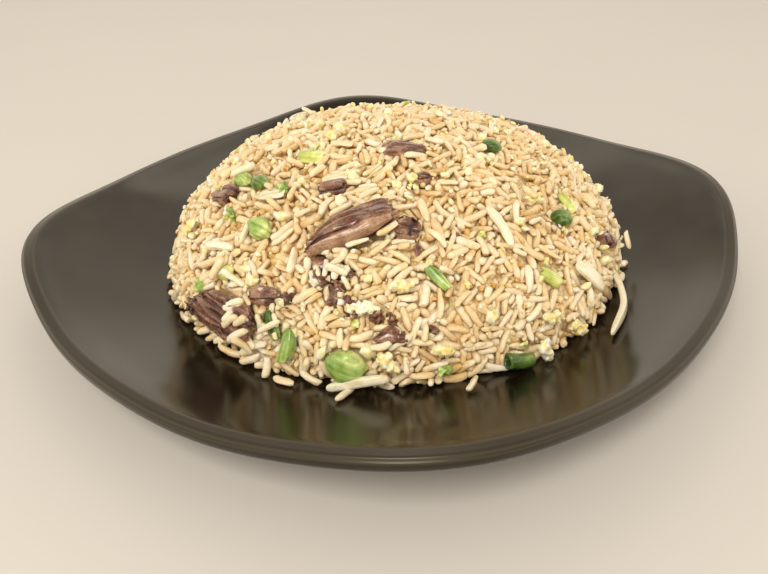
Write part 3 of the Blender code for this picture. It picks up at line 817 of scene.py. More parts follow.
@dataclass
class GrainPacking:
    """Settles grains in a shell over the mound's core, so that they touch and don't cross."""

    mound: MoundShape
    plate: PlateShape
    obstacles: list[Obstacle]
    shell: float = 6.0
    buried: int = 4700
    litter: int = 470
    foot: int = 90
    balls: int = 4
    softness: float = 0.93
    steps: int = 130
    litter_steps: int = 60
    quick_steps: tuple[int, int] = (40, 20)
    pair_reach: float = 3.2
    damping: float = 0.8
    free_height: float = 9.0
    seed: int = 3

    def sizes(self, draw: np.random.Generator, count: int) -> tuple[Array, Array]:
        """Lengths and widths: mostly whole grains, some broken."""
        length = np.clip(draw.normal(8.4, 1.1, count), 5.8, 11.4)
        broken = draw.random(count) < 0.15
        length[broken] = draw.uniform(3.6, 5.8, broken.sum())
        width = np.clip(draw.normal(2.46, 0.24, count), 1.9, 3.1)
        return length, width

    def lay(
        self, draw: np.random.Generator, middle: Array, flatness: tuple[float, float], pull: float
    ) -> Grains:
        """Grains turned at random and laid partly flat on the face.

        Args:
            draw: The source of random numbers.
            middle: Their middles, one row each.
            flatness: Least and most of how flat they lie, from 0 to 1.
            pull: How hard each is drawn to the mound.

        Returns:
            The grains.
        """
        count = len(middle)
        length, width = self.sizes(draw, count)
        _, out = self.mound.depth(middle)
        direction = draw.normal(size=(count, 3))
        upright = (direction * out).sum(1)[:, None] * out
        direction = unit(direction - upright * draw.uniform(*flatness, (count, 1)))
        return Grains(middle, direction, length, width, np.zeros(count, bool), np.full(count, pull))

    def scatter(self, draw: np.random.Generator) -> Grains:
        """Grains thrown at random through the shell."""
        around, down = self.mound.spread(draw, self.buried, 89.5)
        deep = draw.uniform(0.9, self.shell - 0.4, self.buried)
        return self.lay(draw, self.mound.point(around, down, -deep), (0.1, 0.9), 0.0)

    def strew(self, draw: np.random.Generator) -> Grains:
        """Loose grains dropped on the mound's face."""
        around, down = self.mound.spread(draw, self.litter, 84.0)
        middle = self.mound.point(around, down, draw.uniform(1.6, 3.4, self.litter))
        return self.lay(draw, middle, (0.3, 1.0), 0.16)

    def strew_foot(self, draw: np.random.Generator) -> Grains:
        """Loose grains on the plate against the mound's foot."""
        around = draw.random(self.foot) * FULL_TURN
        middle = self.mound.point(around, np.full(self.foot, math.pi / 2), draw.uniform(0.2, 2.6, self.foot))
        middle[:, 2] = self.plate.top_at(middle[:, 0], middle[:, 1]) + draw.uniform(1.4, 3.0, self.foot)
        length, width = self.sizes(draw, self.foot)
        direction = draw.normal(size=(self.foot, 3)) * np.array([1, 1, 0.25])
        fixed = np.zeros(self.foot, bool)
        return Grains(middle, unit(direction), length, width, fixed, np.full(self.foot, 0.10))

    def balls_of(self, grains: Grains) -> tuple[Array, Array, Array, Array]:
        """Splits grains into balls: places, offsets along the grain, radii and owners."""
        share = np.arange(self.balls) / (self.balls - 1) - 0.5
        offset = (grains.length - grains.width)[:, None] * share[None]
        places = grains.middle[:, None] + grains.direction[:, None] * offset[..., None]
        radii = np.repeat(grains.width / 2 * self.softness, self.balls)
        owners = np.repeat(np.arange(len(grains.length)), self.balls)
        return places.reshape(-1, 3), offset.ravel(), radii, owners

    def near_pairs(self, places: Array, owners: Array, reach: float) -> tuple[Array, Array]:
        """Pairs of balls of different grains that are closer than a reach."""
        cells = np.floor(places / reach).astype(np.int64)
        cells -= cells.min(0) - 1
        spans = cells.max(0) + 2
        keys = (cells[:, 0] * spans[1] + cells[:, 1]) * spans[2] + cells[:, 2]
        order = np.argsort(keys, kind="stable")
        ranked = keys[order]
        firsts = []
        seconds = []
        for step in itertools.product((-1, 0, 1), repeat=3):
            if step < (0, 0, 0):
                continue
            shift = (step[0] * spans[1] + step[1]) * spans[2] + step[2]
            low = np.searchsorted(ranked, ranked + shift, "left")
            high = np.searchsorted(ranked, ranked + shift, "right")
            count = high - low
            first = np.repeat(np.arange(len(ranked)), count)
            start = np.repeat(low - np.concatenate([[0], np.cumsum(count)[:-1]]), count)
            second = start + np.arange(len(first))
            if shift == 0:
                keep = second > first
                first = first[keep]
                second = second[keep]
            firsts.append(order[first])
            seconds.append(order[second])
        first = np.concatenate(firsts)
        second = np.concatenate(seconds)
        keep = owners[first] != owners[second]
        first = first[keep]
        second = second[keep]
        keep = ((places[first] - places[second]) ** 2).sum(1) < reach**2
        return first[keep], second[keep]

    def relax(self, grains: Grains, steps: int, proud: Array) -> None:
        """Moves overlapping grains apart and into the shell.

        Args:
            grains: The grains, moved in place.
            steps: How many rounds.
            proud: How far each grain may stand out of the face.
        """
        count = len(grains.length)
        weight = np.where(grains.fixed, 0.0, 1.0)
        pair = None
        for step in range(steps):
            places, offset, radii, owners = self.balls_of(grains)
            if step % 4 == 0:
                pair = self.near_pairs(places, owners, self.pair_reach)
            gap = places[pair[0]] - places[pair[1]]
            far = np.maximum(np.linalg.norm(gap, axis=1), 1e-6)
            lap = radii[pair[0]] + radii[pair[1]] - far
            touch = lap > 0
            first = pair[0][touch]
            second = pair[1][touch]
            push = gap[touch] / far[touch][:, None] * lap[touch][:, None] * 0.5
            moves = np.zeros_like(places)
            for axis in range(3):
                moves[:, axis] += np.bincount(first, push[:, axis], len(places))
                moves[:, axis] -= np.bincount(second, push[:, axis], len(places))
            touches = np.bincount(first, minlength=len(places))
            touches = touches + np.bincount(second, minlength=len(places))
            moves /= np.maximum(touches, 1)[:, None] ** 0.5
            depth, out = self.mound.depth(places + moves)
            too_high = np.clip(radii - proud[owners] - depth, 0, 1.0)
            too_deep = np.clip(depth - (self.shell - radii * 0.3), 0, 1.0)
            moves += out * (too_deep - too_high - grains.pull[owners])[:, None]
            for obstacle in self.obstacles:
                moves += obstacle.push(places + moves, radii)
            now = places + moves
            floor = self.plate.top_at(now[:, 0], now[:, 1]) + radii + 0.1
            moves[:, 2] += np.clip(floor - places[:, 2] - moves[:, 2], 0, 2.0)
            moves *= self.damping
            shift = np.stack([np.bincount(owners, moves[:, k], count) for k in range(3)], -1) / self.balls
            spin = np.stack([np.bincount(owners, moves[:, k] * offset, count) for k in range(3)], -1)
            spin /= np.maximum(np.bincount(owners, offset**2, count), 1e-6)[:, None]
            grains.middle += shift * weight[:, None]
            grains.direction = unit(grains.direction + spin * weight[:, None])

    def settle(self, laid: Grains) -> Grains:
        """Packs the shell, then drops the loose grains on it.

        Args:
            laid: Grains laid one by one, which stay where they are.

        Returns:
            All the grains.
        """
        draw = np.random.default_rng(self.seed)
        packed = Grains.join([laid, self.scatter(draw)])
        proud = draw.exponential(0.45, len(packed.length))
        proud += np.where(draw.random(len(proud)) < 0.12, draw.uniform(0.5, 2.2, len(proud)), 0)
        proud[packed.fixed] = self.free_height
        self.relax(packed, self.steps, proud)
        extra = Grains.join([self.strew(draw), self.strew_foot(draw)])
        proud = np.concatenate([proud, np.full(len(extra.length), self.free_height)])
        everything = Grains.join([packed, extra])
        self.relax(everything, self.litter_steps, proud)
        return everything


class GrainKind(Enum):
    """Tones of the grains: each one's piece name and share of the grains."""

    CREAM = ("rice_cream", 0.31)
    PALE = ("rice_pale", 0.29)
    TAN = ("rice_tan", 0.28)
    SOY = ("rice_soy", 0.12)


RICE_TONES = {
    GrainKind.CREAM: ((0.73, 0.52, 0.25), (0.87, 0.73, 0.50), (0.95, 0.87, 0.70)),
    GrainKind.PALE: ((0.77, 0.57, 0.30), (0.91, 0.79, 0.58), (0.97, 0.91, 0.78)),
    GrainKind.TAN: ((0.68, 0.47, 0.21), (0.84, 0.68, 0.43), (0.93, 0.81, 0.61)),
    GrainKind.SOY: ((0.61, 0.39, 0.15), (0.79, 0.61, 0.35), (0.90, 0.76, 0.53)),
}
MUSH_TONES = ((0.66, 0.45, 0.18), (0.85, 0.69, 0.43), (0.94, 0.84, 0.64))
BROWNED_TONES = ((0.32, 0.12, 0.02), (0.58, 0.30, 0.07), (0.80, 0.55, 0.22))


@dataclass
class GrainMesher:
    """Writes grains of one kind as one joined mesh, each with a shape of its own."""

    mound: MoundShape
    crease: float = 56.0
    sides: int = 8
    rings: int = 8

    def template(self) -> tuple[Array, list[list[int]]]:
        """A ball with its poles on X: its points and faces."""
        mesh = bmesh.new()
        turn = Matrix.Rotation(math.pi / 2, 4, "Y")
        bmesh.ops.create_uvsphere(mesh, u_segments=self.sides, v_segments=self.rings, radius=1.0, matrix=turn)
        return take_template(mesh)

    def shapes(self, ball: Array, grains: Grains, draw: np.random.Generator) -> Array:
        """Turns the ball into grains with their own ends, taper, lumps, bend and breaks.

        Args:
            ball: The ball's points.
            grains: The grains.
            draw: The source of random numbers.

        Returns:
            Points for each grain, along its length, its width and its thickness.
        """
        count = len(grains.length)

        def pick(low: float, high: float) -> Array:
            """A number for each grain, as a column."""
            return draw.uniform(low, high, (count, 1))

        along = ball[:, 0][None]
        across = np.maximum(np.hypot(ball[:, 1], ball[:, 2]), 1e-9)[None]
        side = ball[:, 1][None] / across
        top = ball[:, 2][None] / across
        angle = np.arctan2(top, side)
        radius = (1 - np.abs(along) ** pick(2.6, 6.5)) ** (1 / 2.1)
        radius = np.where(np.abs(along) > 0.9999, 0, radius)
        radius = radius * (1 - pick(-0.02, 0.24) * along)
        radius = radius * (1 - pick(-0.10, 0.20) * np.exp(-(((along - pick(-0.5, 0.5)) / 0.3) ** 2)))
        radius = radius * (1 + pick(0.02, 0.12) * np.sin(pick(3, 9) * along + pick(0, 6.28) + 2 * side))
        radius = radius * (1 + pick(0.0, 0.12) * np.cos(2 * angle + pick(0, 6.28)))
        radius = radius * (1 + pick(0.0, 0.10) * np.cos(3 * angle + pick(0, 6.28) + 2 * along))
        wide = grains.width[:, None] / 2
        x = along / 2 * np.ones((count, 1))
        broken = (draw.random(count) < 0.25) | (grains.length < 5.8)
        far = np.where(broken[:, None], pick(0.34, 0.40), pick(0.42, 0.52))
        far = far + pick(-0.10, 0.10) * side * radius + pick(-0.05, 0.05) * top * radius
        near = pick(-0.52, -0.43) + pick(-0.08, 0.08) * side * radius + pick(-0.05, 0.05) * top * radius
        x = np.where(broken[:, None], 1.12, 1.04) * np.clip(x, near, far)
        y = side * radius * wide
        z = top * radius * wide * pick(0.74, 0.97)
        curve = pick(0.0, 0.095) * grains.length[:, None]
        y = y + curve * (0.33 - (2 * x) ** 2)
        z = z + pick(-0.02, 0.02) * grains.length[:, None] * np.sin(5 * x + pick(0, 6.28))
        return np.stack([x * grains.length[:, None], y, z], -1)

    def build(
        self, name: str, grains: Grains, material: bpy.types.Material, draw: np.random.Generator
    ) -> bpy.types.Object:
        """Joins grains into one object.

        Args:
            name: The piece's name.
            grains: The grains of this kind.
            material: Their finish.
            draw: The source of random numbers.

        Returns:
            The object.
        """
        ball, faces = self.template()
        count = len(grains.length)
        local = self.shapes(ball, grains, draw)
        side = unit(np.cross(grains.direction, draw.normal(size=(count, 3))))
        axes = np.stack([grains.direction, side, np.cross(grains.direction, side)], 1)
        points = grains.middle[:, None] + np.einsum("gvk,gkc->gvc", local, axes)
        data = join_copies(name, points, faces)
        data.set_sharp_from_angle(angle=math.radians(self.crease))
        own = np.clip(draw.normal(0.5, 0.13, count), 0.1, 0.9)
        slope = draw.normal(0, 0.12, (count, 1)) * ball[:, 0][None]
        depth, _ = self.mound.depth(points.reshape(-1, 3))
        # Painted shade: points deeper in the mound are darker and points standing proud are lighter.
        level = np.clip(0.08 - 0.16 * depth, -0.4, 0.3)
        return add_mesh(name, data, material, {"tint_and_depth_shade": (own[:, None] + slope).ravel() + level})


@dataclass(frozen=True)
class Topping:
    """A piece bedded in the mound: its node's name, its size and its spot."""

    name: str
    length: float
    width: float
    thickness: float
    spot: Spot

    def seed(self) -> int:
        """A number of the piece's own for its random draws."""
        return sum(ord(letter) * (i + 3) for i, letter in enumerate(self.name))

    def halves(self) -> Array:
        """Half its length, width and thickness."""
        return np.array([self.length, self.width, self.thickness]) / 2


BEEF = (
    Topping("beef_top", 31, 15.5, 10.5, Spot(-111.5, 40.3, 30, 1.6, -12)),
    Topping("beef_under", 20, 7.5, 4.5, Spot(-114.3, 51.3, 6, -0.9)),
    Topping("beef_crown", 9, 8, 5.5, Spot(-92.6, 39.6, -20, 1.2)),
    Topping("beef_foot", 35.5, 16, 7, Spot(-138, 74.5, 4, 1.4, 8)),
    Topping("beef_foot_upper", 14, 5.5, 5, Spot(-128.3, 63.2, 14, 1.0)),
    Topping("beef_upper", 10, 6, 4.5, Spot(-124.8, 28.6, 17, 1.0)),
    Topping("beef_left", 12, 9, 6, Spot(-165.5, 45.5, 40, 1.0)),
    Topping("beef_rear_low", 9.5, 5.2, 4, Spot(-81.8, 24.4, -9, 0.8)),
    Topping("beef_rear", 16, 6.5, 5, Spot(-84.0, 12.4, -13, 1.0)),
    Topping("beef_right", 9, 7, 5, Spot(-31.5, 68.5, 20, 1.2)),
    Topping("beef_front", 8, 5.5, 4.5, Spot(-99.0, 70.6, 11, 0.8)),
    Topping("beef_back_left", 15, 10, 6, Spot(118, 58, 20, 1.2)),
    Topping("beef_back_right", 20, 12, 6.5, Spot(62, 66, -15, 1.2)),
)


@dataclass
class BeefSlice:
    """A slice of beef: a torn slab of bundles of fibres with deep creases between them, painted darker as
    shade.
    """

    topping: Topping
    fibre_turn: float = 0.0
    sink: float = 0.0
    bundle: float = 3.2
    crease: float = 0.9
    crease_shade_strength: float = 0.32
    cuts: int = 5
    large_length: float = 19.0
    large_grid: int = 60
    small_grid: int = 26
    squareness: float = 5.0

    def outline(self, ball: Array, noise: Noise) -> tuple[Array, Array, Array]:
        """The slab before its fibres, its corners torn off by flat cuts.

        Args:
            ball: The block's points, from -1 to 1.
            noise: The piece's own noise.

        Returns:
            Points in millimetres, how pale each is, and how wet.
        """
        x, y, z = ball.T
        draw = np.random.default_rng(self.topping.seed())
        skew, lean, thin = draw.uniform(-0.22, 0.22, 3)
        edge = noise.at(np.stack([x * 1.6, z * 0.6, np.sign(y)], -1))
        wide = 1 + thin * x - 0.12 * np.abs(x) ** 3 + 0.2 * edge
        shaped = np.stack([x + lean * y * 0.4, y * wide + skew * x * 0.6, z * (1 + 0.2 * thin * x)], -1)
        shaped[:, 2] += 0.22 * noise.at(np.stack([x * 1.5, y * 1.5, z * 0.5], -1)) + 0.14 * (0.4 - x**2)
        for _ in range(self.cuts):
            way = unit(draw.normal(size=3) * np.array([1, 1, 0.8]))
            over = shaped @ way - draw.uniform(0.72, 0.98)
            shaped -= np.clip(over, 0, 1)[:, None] * way
        shaped *= 0.93
        pale = 0.44 + 0.16 * noise.at(ball * 1.4 + 5)
        return shaped * self.topping.halves(), pale, 0.5 + 0.5 * noise.at(ball * 2.1 + 9)

    def grain(self, points: Array, noise: Noise) -> tuple[Array, Array]:
        """Height and tone of the fibres, with the creases between bundles painted darker as shade.

        Args:
            points: Places in millimetres, before the relief.
            noise: The piece's own noise.

        Returns:
            The relief in millimetres and the tone to be added.
        """
        warp = noise.at(points * 0.13 + 3)
        place = np.stack([points[:, 0] * 0.05, points[:, 1] + warp * 1.6, points[:, 2] + warp], -1)
        place[:, 1:] /= self.bundle
        bundles = np.abs(noise.at(place))
        gap = np.exp(-((bundles / 0.13) ** 2))
        strands = noise.at(place * np.array([1.6, 3.0, 3.0]) + 20)
        fine = noise.at(place * np.array([5.0, 8.0, 8.0]) + 40)
        rise = np.sqrt(bundles) - 0.45
        lump = noise.at(points * 0.3 + 71)
        relief = self.crease * (rise - 0.5 * gap) + 0.16 * strands + 0.06 * fine + 0.3 * lump
        # Painted shade: the creases between bundles are darker and the raised bundles lighter.
        return relief, self.crease_shade_strength * (0.4 * rise - gap) + 0.10 * strands + 0.08 * fine

    def build(self, mound: MoundShape, material: bpy.types.Material) -> bpy.types.Object:
        """Shapes and places the slice.

        Args:
            mound: The mound that it lies in.
            material: Its finish.

        Returns:
            The object.
        """
        piece = self.topping
        noise = Noise(piece.seed())
        grid = self.large_grid if piece.length > self.large_length else self.small_grid
        mesh, ball = rounded_block(grid, self.squareness)
        points, pale, wet = self.outline(ball, noise)
        fray = noise.layers(np.stack([ball[:, 1] * 4, ball[:, 2] * 4, np.sign(ball[:, 0]) * 3], -1), 2)
        points[:, 0] += fray * np.abs(ball[:, 0]) ** 5 * min(1.5, piece.length * 0.06)
        move_points(mesh, points)
        relief, tone = self.grain(points, noise)
        shade = pale + tone
        points = points + vertex_normals(mesh) * relief[:, None]
        spot = replace(piece.spot, lift=piece.spot.lift - self.sink)
        move_points(mesh, to_world(spot.matrix(mound), points))
        values = {"fibre": np.clip(shade, 0, 1), "wet": np.clip(wet, 0, 1)}
        return add_object(piece.name + "_meat", mesh, material, values)


@dataclass
class FoldedSlice(BeefSlice):
    """The large slice: a dark wet fold over a paler face, thick at one end, over a recessed lower layer
    painted dark as shade.
    """

    crease: float = 0.22
    calm: float = 0.35
    stations: tuple[float, ...] = (-13.5, -9.8, -3.3, 2.7, 10.7, 15.2)
    back_edge: tuple[float, ...] = (-6.0, -2.6, 0.9, 1.9, 2.6, 2.0)
    back_foot: tuple[float, ...] = (-5.3, 1.0, 6.0, 7.2, 7.3, 7.2)
    top_height: tuple[float, ...] = (3.3, 4.2, 4.7, 4.9, 5.0, 4.9)
    face_foot: tuple[float, ...] = (-0.5, -2.5, -2.5, -1.2, 1.4, 2.6)

    def grain(self, points: Array, noise: Noise) -> tuple[Array, Array]:
        """Height and tone of the fibres, which show less on this slice.

        Args:
            points: Places in millimetres, before the relief.
            noise: The piece's own noise.

        Returns:
            The relief in millimetres and the tone to be added.
        """
        relief, tone = super().grain(points, noise)
        return relief, self.calm * tone

    def outline(self, ball: Array, noise: Noise) -> tuple[Array, Array, Array]:
        """The folded slab before its fibres.

        Args:
            ball: The block's points, from -1 to 1.
            noise: The piece's own noise.

        Returns:
            Points in millimetres, how pale each is, and how wet.
        """
        x, y, z = ball.T
        along = 14.4 * x + 0.9 + 0.5 * noise.at(np.stack([y * 2, z * 2, x * 0], -1)) * np.abs(x) ** 4
        edge, foot, top, face_foot = (
            np.interp(along, self.stations, row)
            for row in (self.back_edge, self.back_foot, self.top_height, self.face_foot)
        )
        share = (y + 1) / 2
        across = -7.0 + (foot + 7.0) * share
        fall = np.clip((across - edge) / np.maximum(foot - edge, 0.4), 0, 1)
        height = z * np.where(z > 0, top + (0.4 - top) * fall, 5.0)
        height += 0.25 * noise.at(np.stack([x * 2.2, y * 1.5, z], -1)) * (z > 0.3)
        front = 1 - smooth_step(0.0, 0.35, share)
        recess = smooth_step(0.0, 0.9, face_foot - height) * front
        span = np.clip((height - face_foot) / np.maximum(top - face_foot, 0.5), 0, 1)
        across += 2.6 * recess - 1.1 * front * 4 * span * (1 - span)
        line = y + z - 0.10 - 0.05 * noise.at(np.stack([x * 3, x * 0, x * 0 + 4], -1))
        groove = np.exp(-((line / 0.10) ** 2)) * (1 - smooth_step(-2.0, 4.0, along)) * (z > 0)
        across += 1.0 * groove
        height -= 1.0 * groove
        upper = smooth_step(-0.05, 0.08, line) * (z > 0)
        # Painted shade: the groove and the recess under the face are darkened.
        pale = 0.66 - 0.24 * upper - 0.45 * groove - 0.42 * recess
        return np.stack([along, across, height], -1), pale, 0.15 + 0.85 * upper * (1 - 0.5 * groove)


@dataclass
class BundledSlice(BeefSlice):
    """A slice seen along its grain: a few thick bundles with deep creases between them."""

    creases: tuple[tuple[float, float], ...] = (
        (-4.6, 1.0),
        (-1.9, 0.35),
        (0.9, 1.0),
        (3.4, 0.6),
        (5.4, 0.5),
    )

    def grain(self, points: Array, noise: Noise) -> tuple[Array, Array]:
        """Height and tone of the bundles, with the creases painted darker as shade.

        Args:
            points: Places in millimetres, before the relief.
            noise: The piece's own noise.

        Returns:
            The relief in millimetres and the tone to be added.
        """
        turn = math.radians(self.fibre_turn)
        along = points[:, 0] * math.cos(turn) + points[:, 1] * math.sin(turn)
        across = points[:, 1] * math.cos(turn) - points[:, 0] * math.sin(turn)
        across = across + 0.9 * noise.at(np.stack([along * 0.12, across * 0.1, across * 0], -1))
        relief = 0.3 * noise.at(points * 0.3 + 71)
        tone = 0.0 * relief
        for place, strength in self.creases:
            stretch = np.stack([along * 0.14, along * 0 + place, along * 0], -1)
            fade = np.clip(0.75 + 0.9 * noise.at(stretch), 0, 1)
            narrow = np.exp(-(((across - place) / 0.42) ** 2)) * strength * fade
            broad = np.exp(-(((across - place) / 1.3) ** 2)) * strength * fade
            # Painted shade darkens the creases.
            relief = relief - 1.0 * narrow - 1.2 * broad
            tone = tone - 0.30 * narrow - 0.18 * broad
        strands = noise.at(np.stack([along * 0.12, across * 1.1, points[:, 2] * 1.1], -1) + 20)
        return relief + 0.14 * strands, tone + 0.10 * strands


class GreenForm(Enum):
    """How a piece of scallion was cut."""

    CHUNK = "chunk"
    TUBE = "tube"
    PETAL = "petal"
    LEAF = "leaf"
    HOOK = "hook"


class GreenTone(Enum):
    """Which part of the scallion a piece comes from: skin, flesh and pale colours."""

    DARK = ((0.030, 0.075, 0.012), (0.115, 0.205, 0.034), (0.340, 0.430, 0.120))
    FRESH = ((0.130, 0.250, 0.040), (0.330, 0.470, 0.110), (0.720, 0.800, 0.330))
    PALE = ((0.380, 0.450, 0.080), (0.660, 0.700, 0.210), (0.920, 0.900, 0.520))


@dataclass(frozen=True)
class GreenPiece:
    """A piece of scallion in one of its forms."""

    topping: Topping
    form: GreenForm
    tone: GreenTone

    def blank(self) -> tuple[bmesh.types.BMesh, Array, Array]:
        """The piece before its relief: the bmesh, its points and its place across the streaks."""
        if self.form in (GreenForm.CHUNK, GreenForm.HOOK):
            mesh, points = rounded_block(22, 3.4)
            x, y, z = points.T
            if self.form is GreenForm.CHUNK:
                points = points + np.stack([-0.34 * y, 0.12 * x, 0.10 * x * y], -1)
                points *= np.array([0.9, 0.95, 1.0]) * (1 - 0.14 * (x < 0) * x**2)[:, None]
                return mesh, points, (x + 0.9 * y) * 2.6
            points[:, 1] += 0.75 * (0.5 - x**2)
            points[:, 2] += 0.3 * x
            points *= np.array([1, 0.72, 0.8])
            return mesh, points, np.arctan2(z, y) * 2.2
        mesh = bmesh.new()
        if self.form is GreenForm.TUBE:
            turn = Matrix.Rotation(math.pi / 2, 4, "Y")
            bmesh.ops.create_cone(
                mesh, cap_ends=False, segments=36, radius1=1.0, radius2=0.92, depth=2.0, matrix=turn
            )
            along = [edge for edge in mesh.edges if abs(edge.verts[0].co.x - edge.verts[1].co.x) > 1]
            bmesh.ops.subdivide_edges(mesh, edges=along, cuts=10, use_grid_fill=True)
            bmesh.ops.recalc_face_normals(mesh, faces=mesh.faces)
            bmesh.ops.solidify(mesh, geom=mesh.faces[:], thickness=0.3)
            points = mesh_points(mesh)
            return mesh, points, np.arctan2(points[:, 2], points[:, 1]) * 3
        bmesh.ops.create_grid(mesh, x_segments=20, y_segments=14, size=1.0)
        bmesh.ops.solidify(mesh, geom=mesh.faces[:], thickness=0.34 if self.form is GreenForm.LEAF else 0.5)
        points = mesh_points(mesh)
        y = points[:, 1].copy()
        corner = np.clip(np.abs(points[:, 0]) - 0.4, 0, 1) ** 2
        points[:, 1] *= 1 - 0.9 * corner
        arch = 0.5 if self.form is GreenForm.LEAF else 0.9
        points[:, 2] += arch * (0.5 - y**2)
        return mesh, points, y * 4

    def build(self, mound: MoundShape, material: bpy.types.Material) -> bpy.types.Object:
        """Shapes and places the piece.

        Args:
            mound: The mound that it lies in.
            material: Its finish.

        Returns:
            The object.
        """
        piece = self.topping
        noise = Noise(piece.seed())
        mesh, points, streak_place = self.blank()
        x = points[:, 0].copy()
        low = noise.at(points * 1.1)
        points[:, 1] += 0.14 * noise.at(points * 0.9 + 31)
        points[:, 2] += 0.14 * noise.at(points * 0.9 + 57) + 0.16 * (0.4 - x**2)
        ends = noise.at(np.stack([points[:, 1] * 1.5, points[:, 2] * 1.5, x * 0], -1))
        points[:, 0] += 0.12 * ends * np.abs(x)
        points = points * piece.halves()
        run = x * 0.6 if self.form is not GreenForm.CHUNK else low * 0.3
        streaks = noise.at(np.stack([run, streak_place * 1.5, x * 0 + 3], -1))
        fine = noise.at(np.stack([x * 1.1, streak_place * 6.0, x * 0 + 8], -1))
        move_points(mesh, points)
        normals = vertex_normals(mesh)
        relief = 0.10 * streaks + 0.04 * fine + 0.2 * low
        points = points + normals * relief[:, None]
        tone = 0.45 + 0.22 * streaks + 0.12 * fine + 0.26 * x + 0.08 * low
        move_points(mesh, to_world(piece.spot.matrix(mound), points))
        return add_object(piece.name + "_cut", mesh, material, {"streak": np.clip(tone, 0, 1)})


GREENS = tuple(
    GreenPiece(Topping(name, *size, Spot(*spot)), form, tone)
    for name, size, spot, form, tone in (
        ("green_front", (12.6, 9.4, 7.5), (-107.2, 80.6, 14, 2.0), GreenForm.CHUNK, GreenTone.FRESH),
        ("green_bent", (11, 5.6, 4.6), (-119.8, 77.2, -100, 1.4), GreenForm.HOOK, GreenTone.FRESH),
        ("green_leaf", (9.5, 5.2, 2.2), (-124.0, 71.8, -52, 1.2, 14), GreenForm.LEAF, GreenTone.DARK),
        ("green_strip", (9.4, 3.6, 2.6), (-86.6, 54.2, -56, 1.0), GreenForm.PETAL, GreenTone.FRESH),
        ("green_ring", (8.6, 8.0, 5.0), (-138.6, 46.6, 31, 1.2, 12), GreenForm.CHUNK, GreenTone.FRESH),
        ("green_left", (8.5, 5.4, 4.0), (-156.5, 36.4, 42, 1.0), GreenForm.CHUNK, GreenTone.DARK),
        ("green_left_pale", (8, 6, 3.6), (-166.6, 39.4, 36, 0.9), GreenForm.CHUNK, GreenTone.FRESH),
        ("green_low_left", (7.6, 5.2, 3.4), (-141.2, 61.4, 26, 0.8), GreenForm.PETAL, GreenTone.PALE),
        ("green_square", (6.8, 6.4, 4.4), (-42.6, 51.2, -20, 1.2), GreenForm.CHUNK, GreenTone.DARK),
        ("green_long", (8.6, 4.2, 3.4), (-33.6, 50.4, -118, 1.0), GreenForm.PETAL, GreenTone.PALE),
        ("green_olive", (8.0, 5.2, 3.6), (-58.6, 63.2, -52, 0.9), GreenForm.PETAL, GreenTone.PALE),
        ("green_foot", (9.4, 5.0, 4.4), (-72.6, 85.6, -12, 2.4), GreenForm.TUBE, GreenTone.DARK),
        ("green_rear_left", (10.5, 7.5, 4), (-153.8, 21.6, 30, 0.9), GreenForm.PETAL, GreenTone.PALE),
        ("green_rear_right", (7.4, 6.4, 4), (-25.2, 25.4, -40, 1.0), GreenForm.CHUNK, GreenTone.DARK),
        ("green_back_left", (10, 7, 5), (134, 70, 12, 1.4), GreenForm.TUBE, GreenTone.FRESH),
        ("green_back", (11, 8, 5), (92, 56, -35, 1.3), GreenForm.CHUNK, GreenTone.FRESH),
        ("green_back_right", (9, 6, 4.5), (46, 61, 40, 1.1), GreenForm.PETAL, GreenTone.DARK),
    )
)

EGGS = (
    Topping("egg_front", 10.4, 4.6, 3.6, Spot(-103.8, 62.0, -3, 1.1)),
    Topping("egg_middle", 8.4, 4.8, 3.4, Spot(-95.8, 56.2, 6, 1.0)),
    Topping("egg_low", 9.6, 5.4, 3.8, Spot(-98.6, 78.6, -46, 1.5)),
    Topping("egg_low_right", 8.0, 4.6, 3.4, Spot(-88.0, 76.6, -6, 1.1)),
    Topping("egg_foot", 9.0, 5.4, 3.8, Spot(-66.6, 85.0, -62, 2.2)),
    Topping("egg_right", 11.0, 5.2, 3.6, Spot(-63.0, 75.4, -14, 1.2)),
    Topping("egg_far_right", 9.6, 5.0, 3.6, Spot(-57.0, 83.6, -20, 1.8)),
    Topping("egg_upper_right", 9.6, 5.6, 3.6, Spot(-45.4, 42.4, -26, 1.0)),
    Topping("egg_left", 9.8, 5.6, 3.6, Spot(-165.2, 59.4, 72, 1.1)),
    Topping("egg_back", 11, 6, 4, Spot(76, 50, 25, 1.1)),
    Topping("egg_back_left", 9, 6, 4, Spot(102, 75, -15, 1.2)),
)


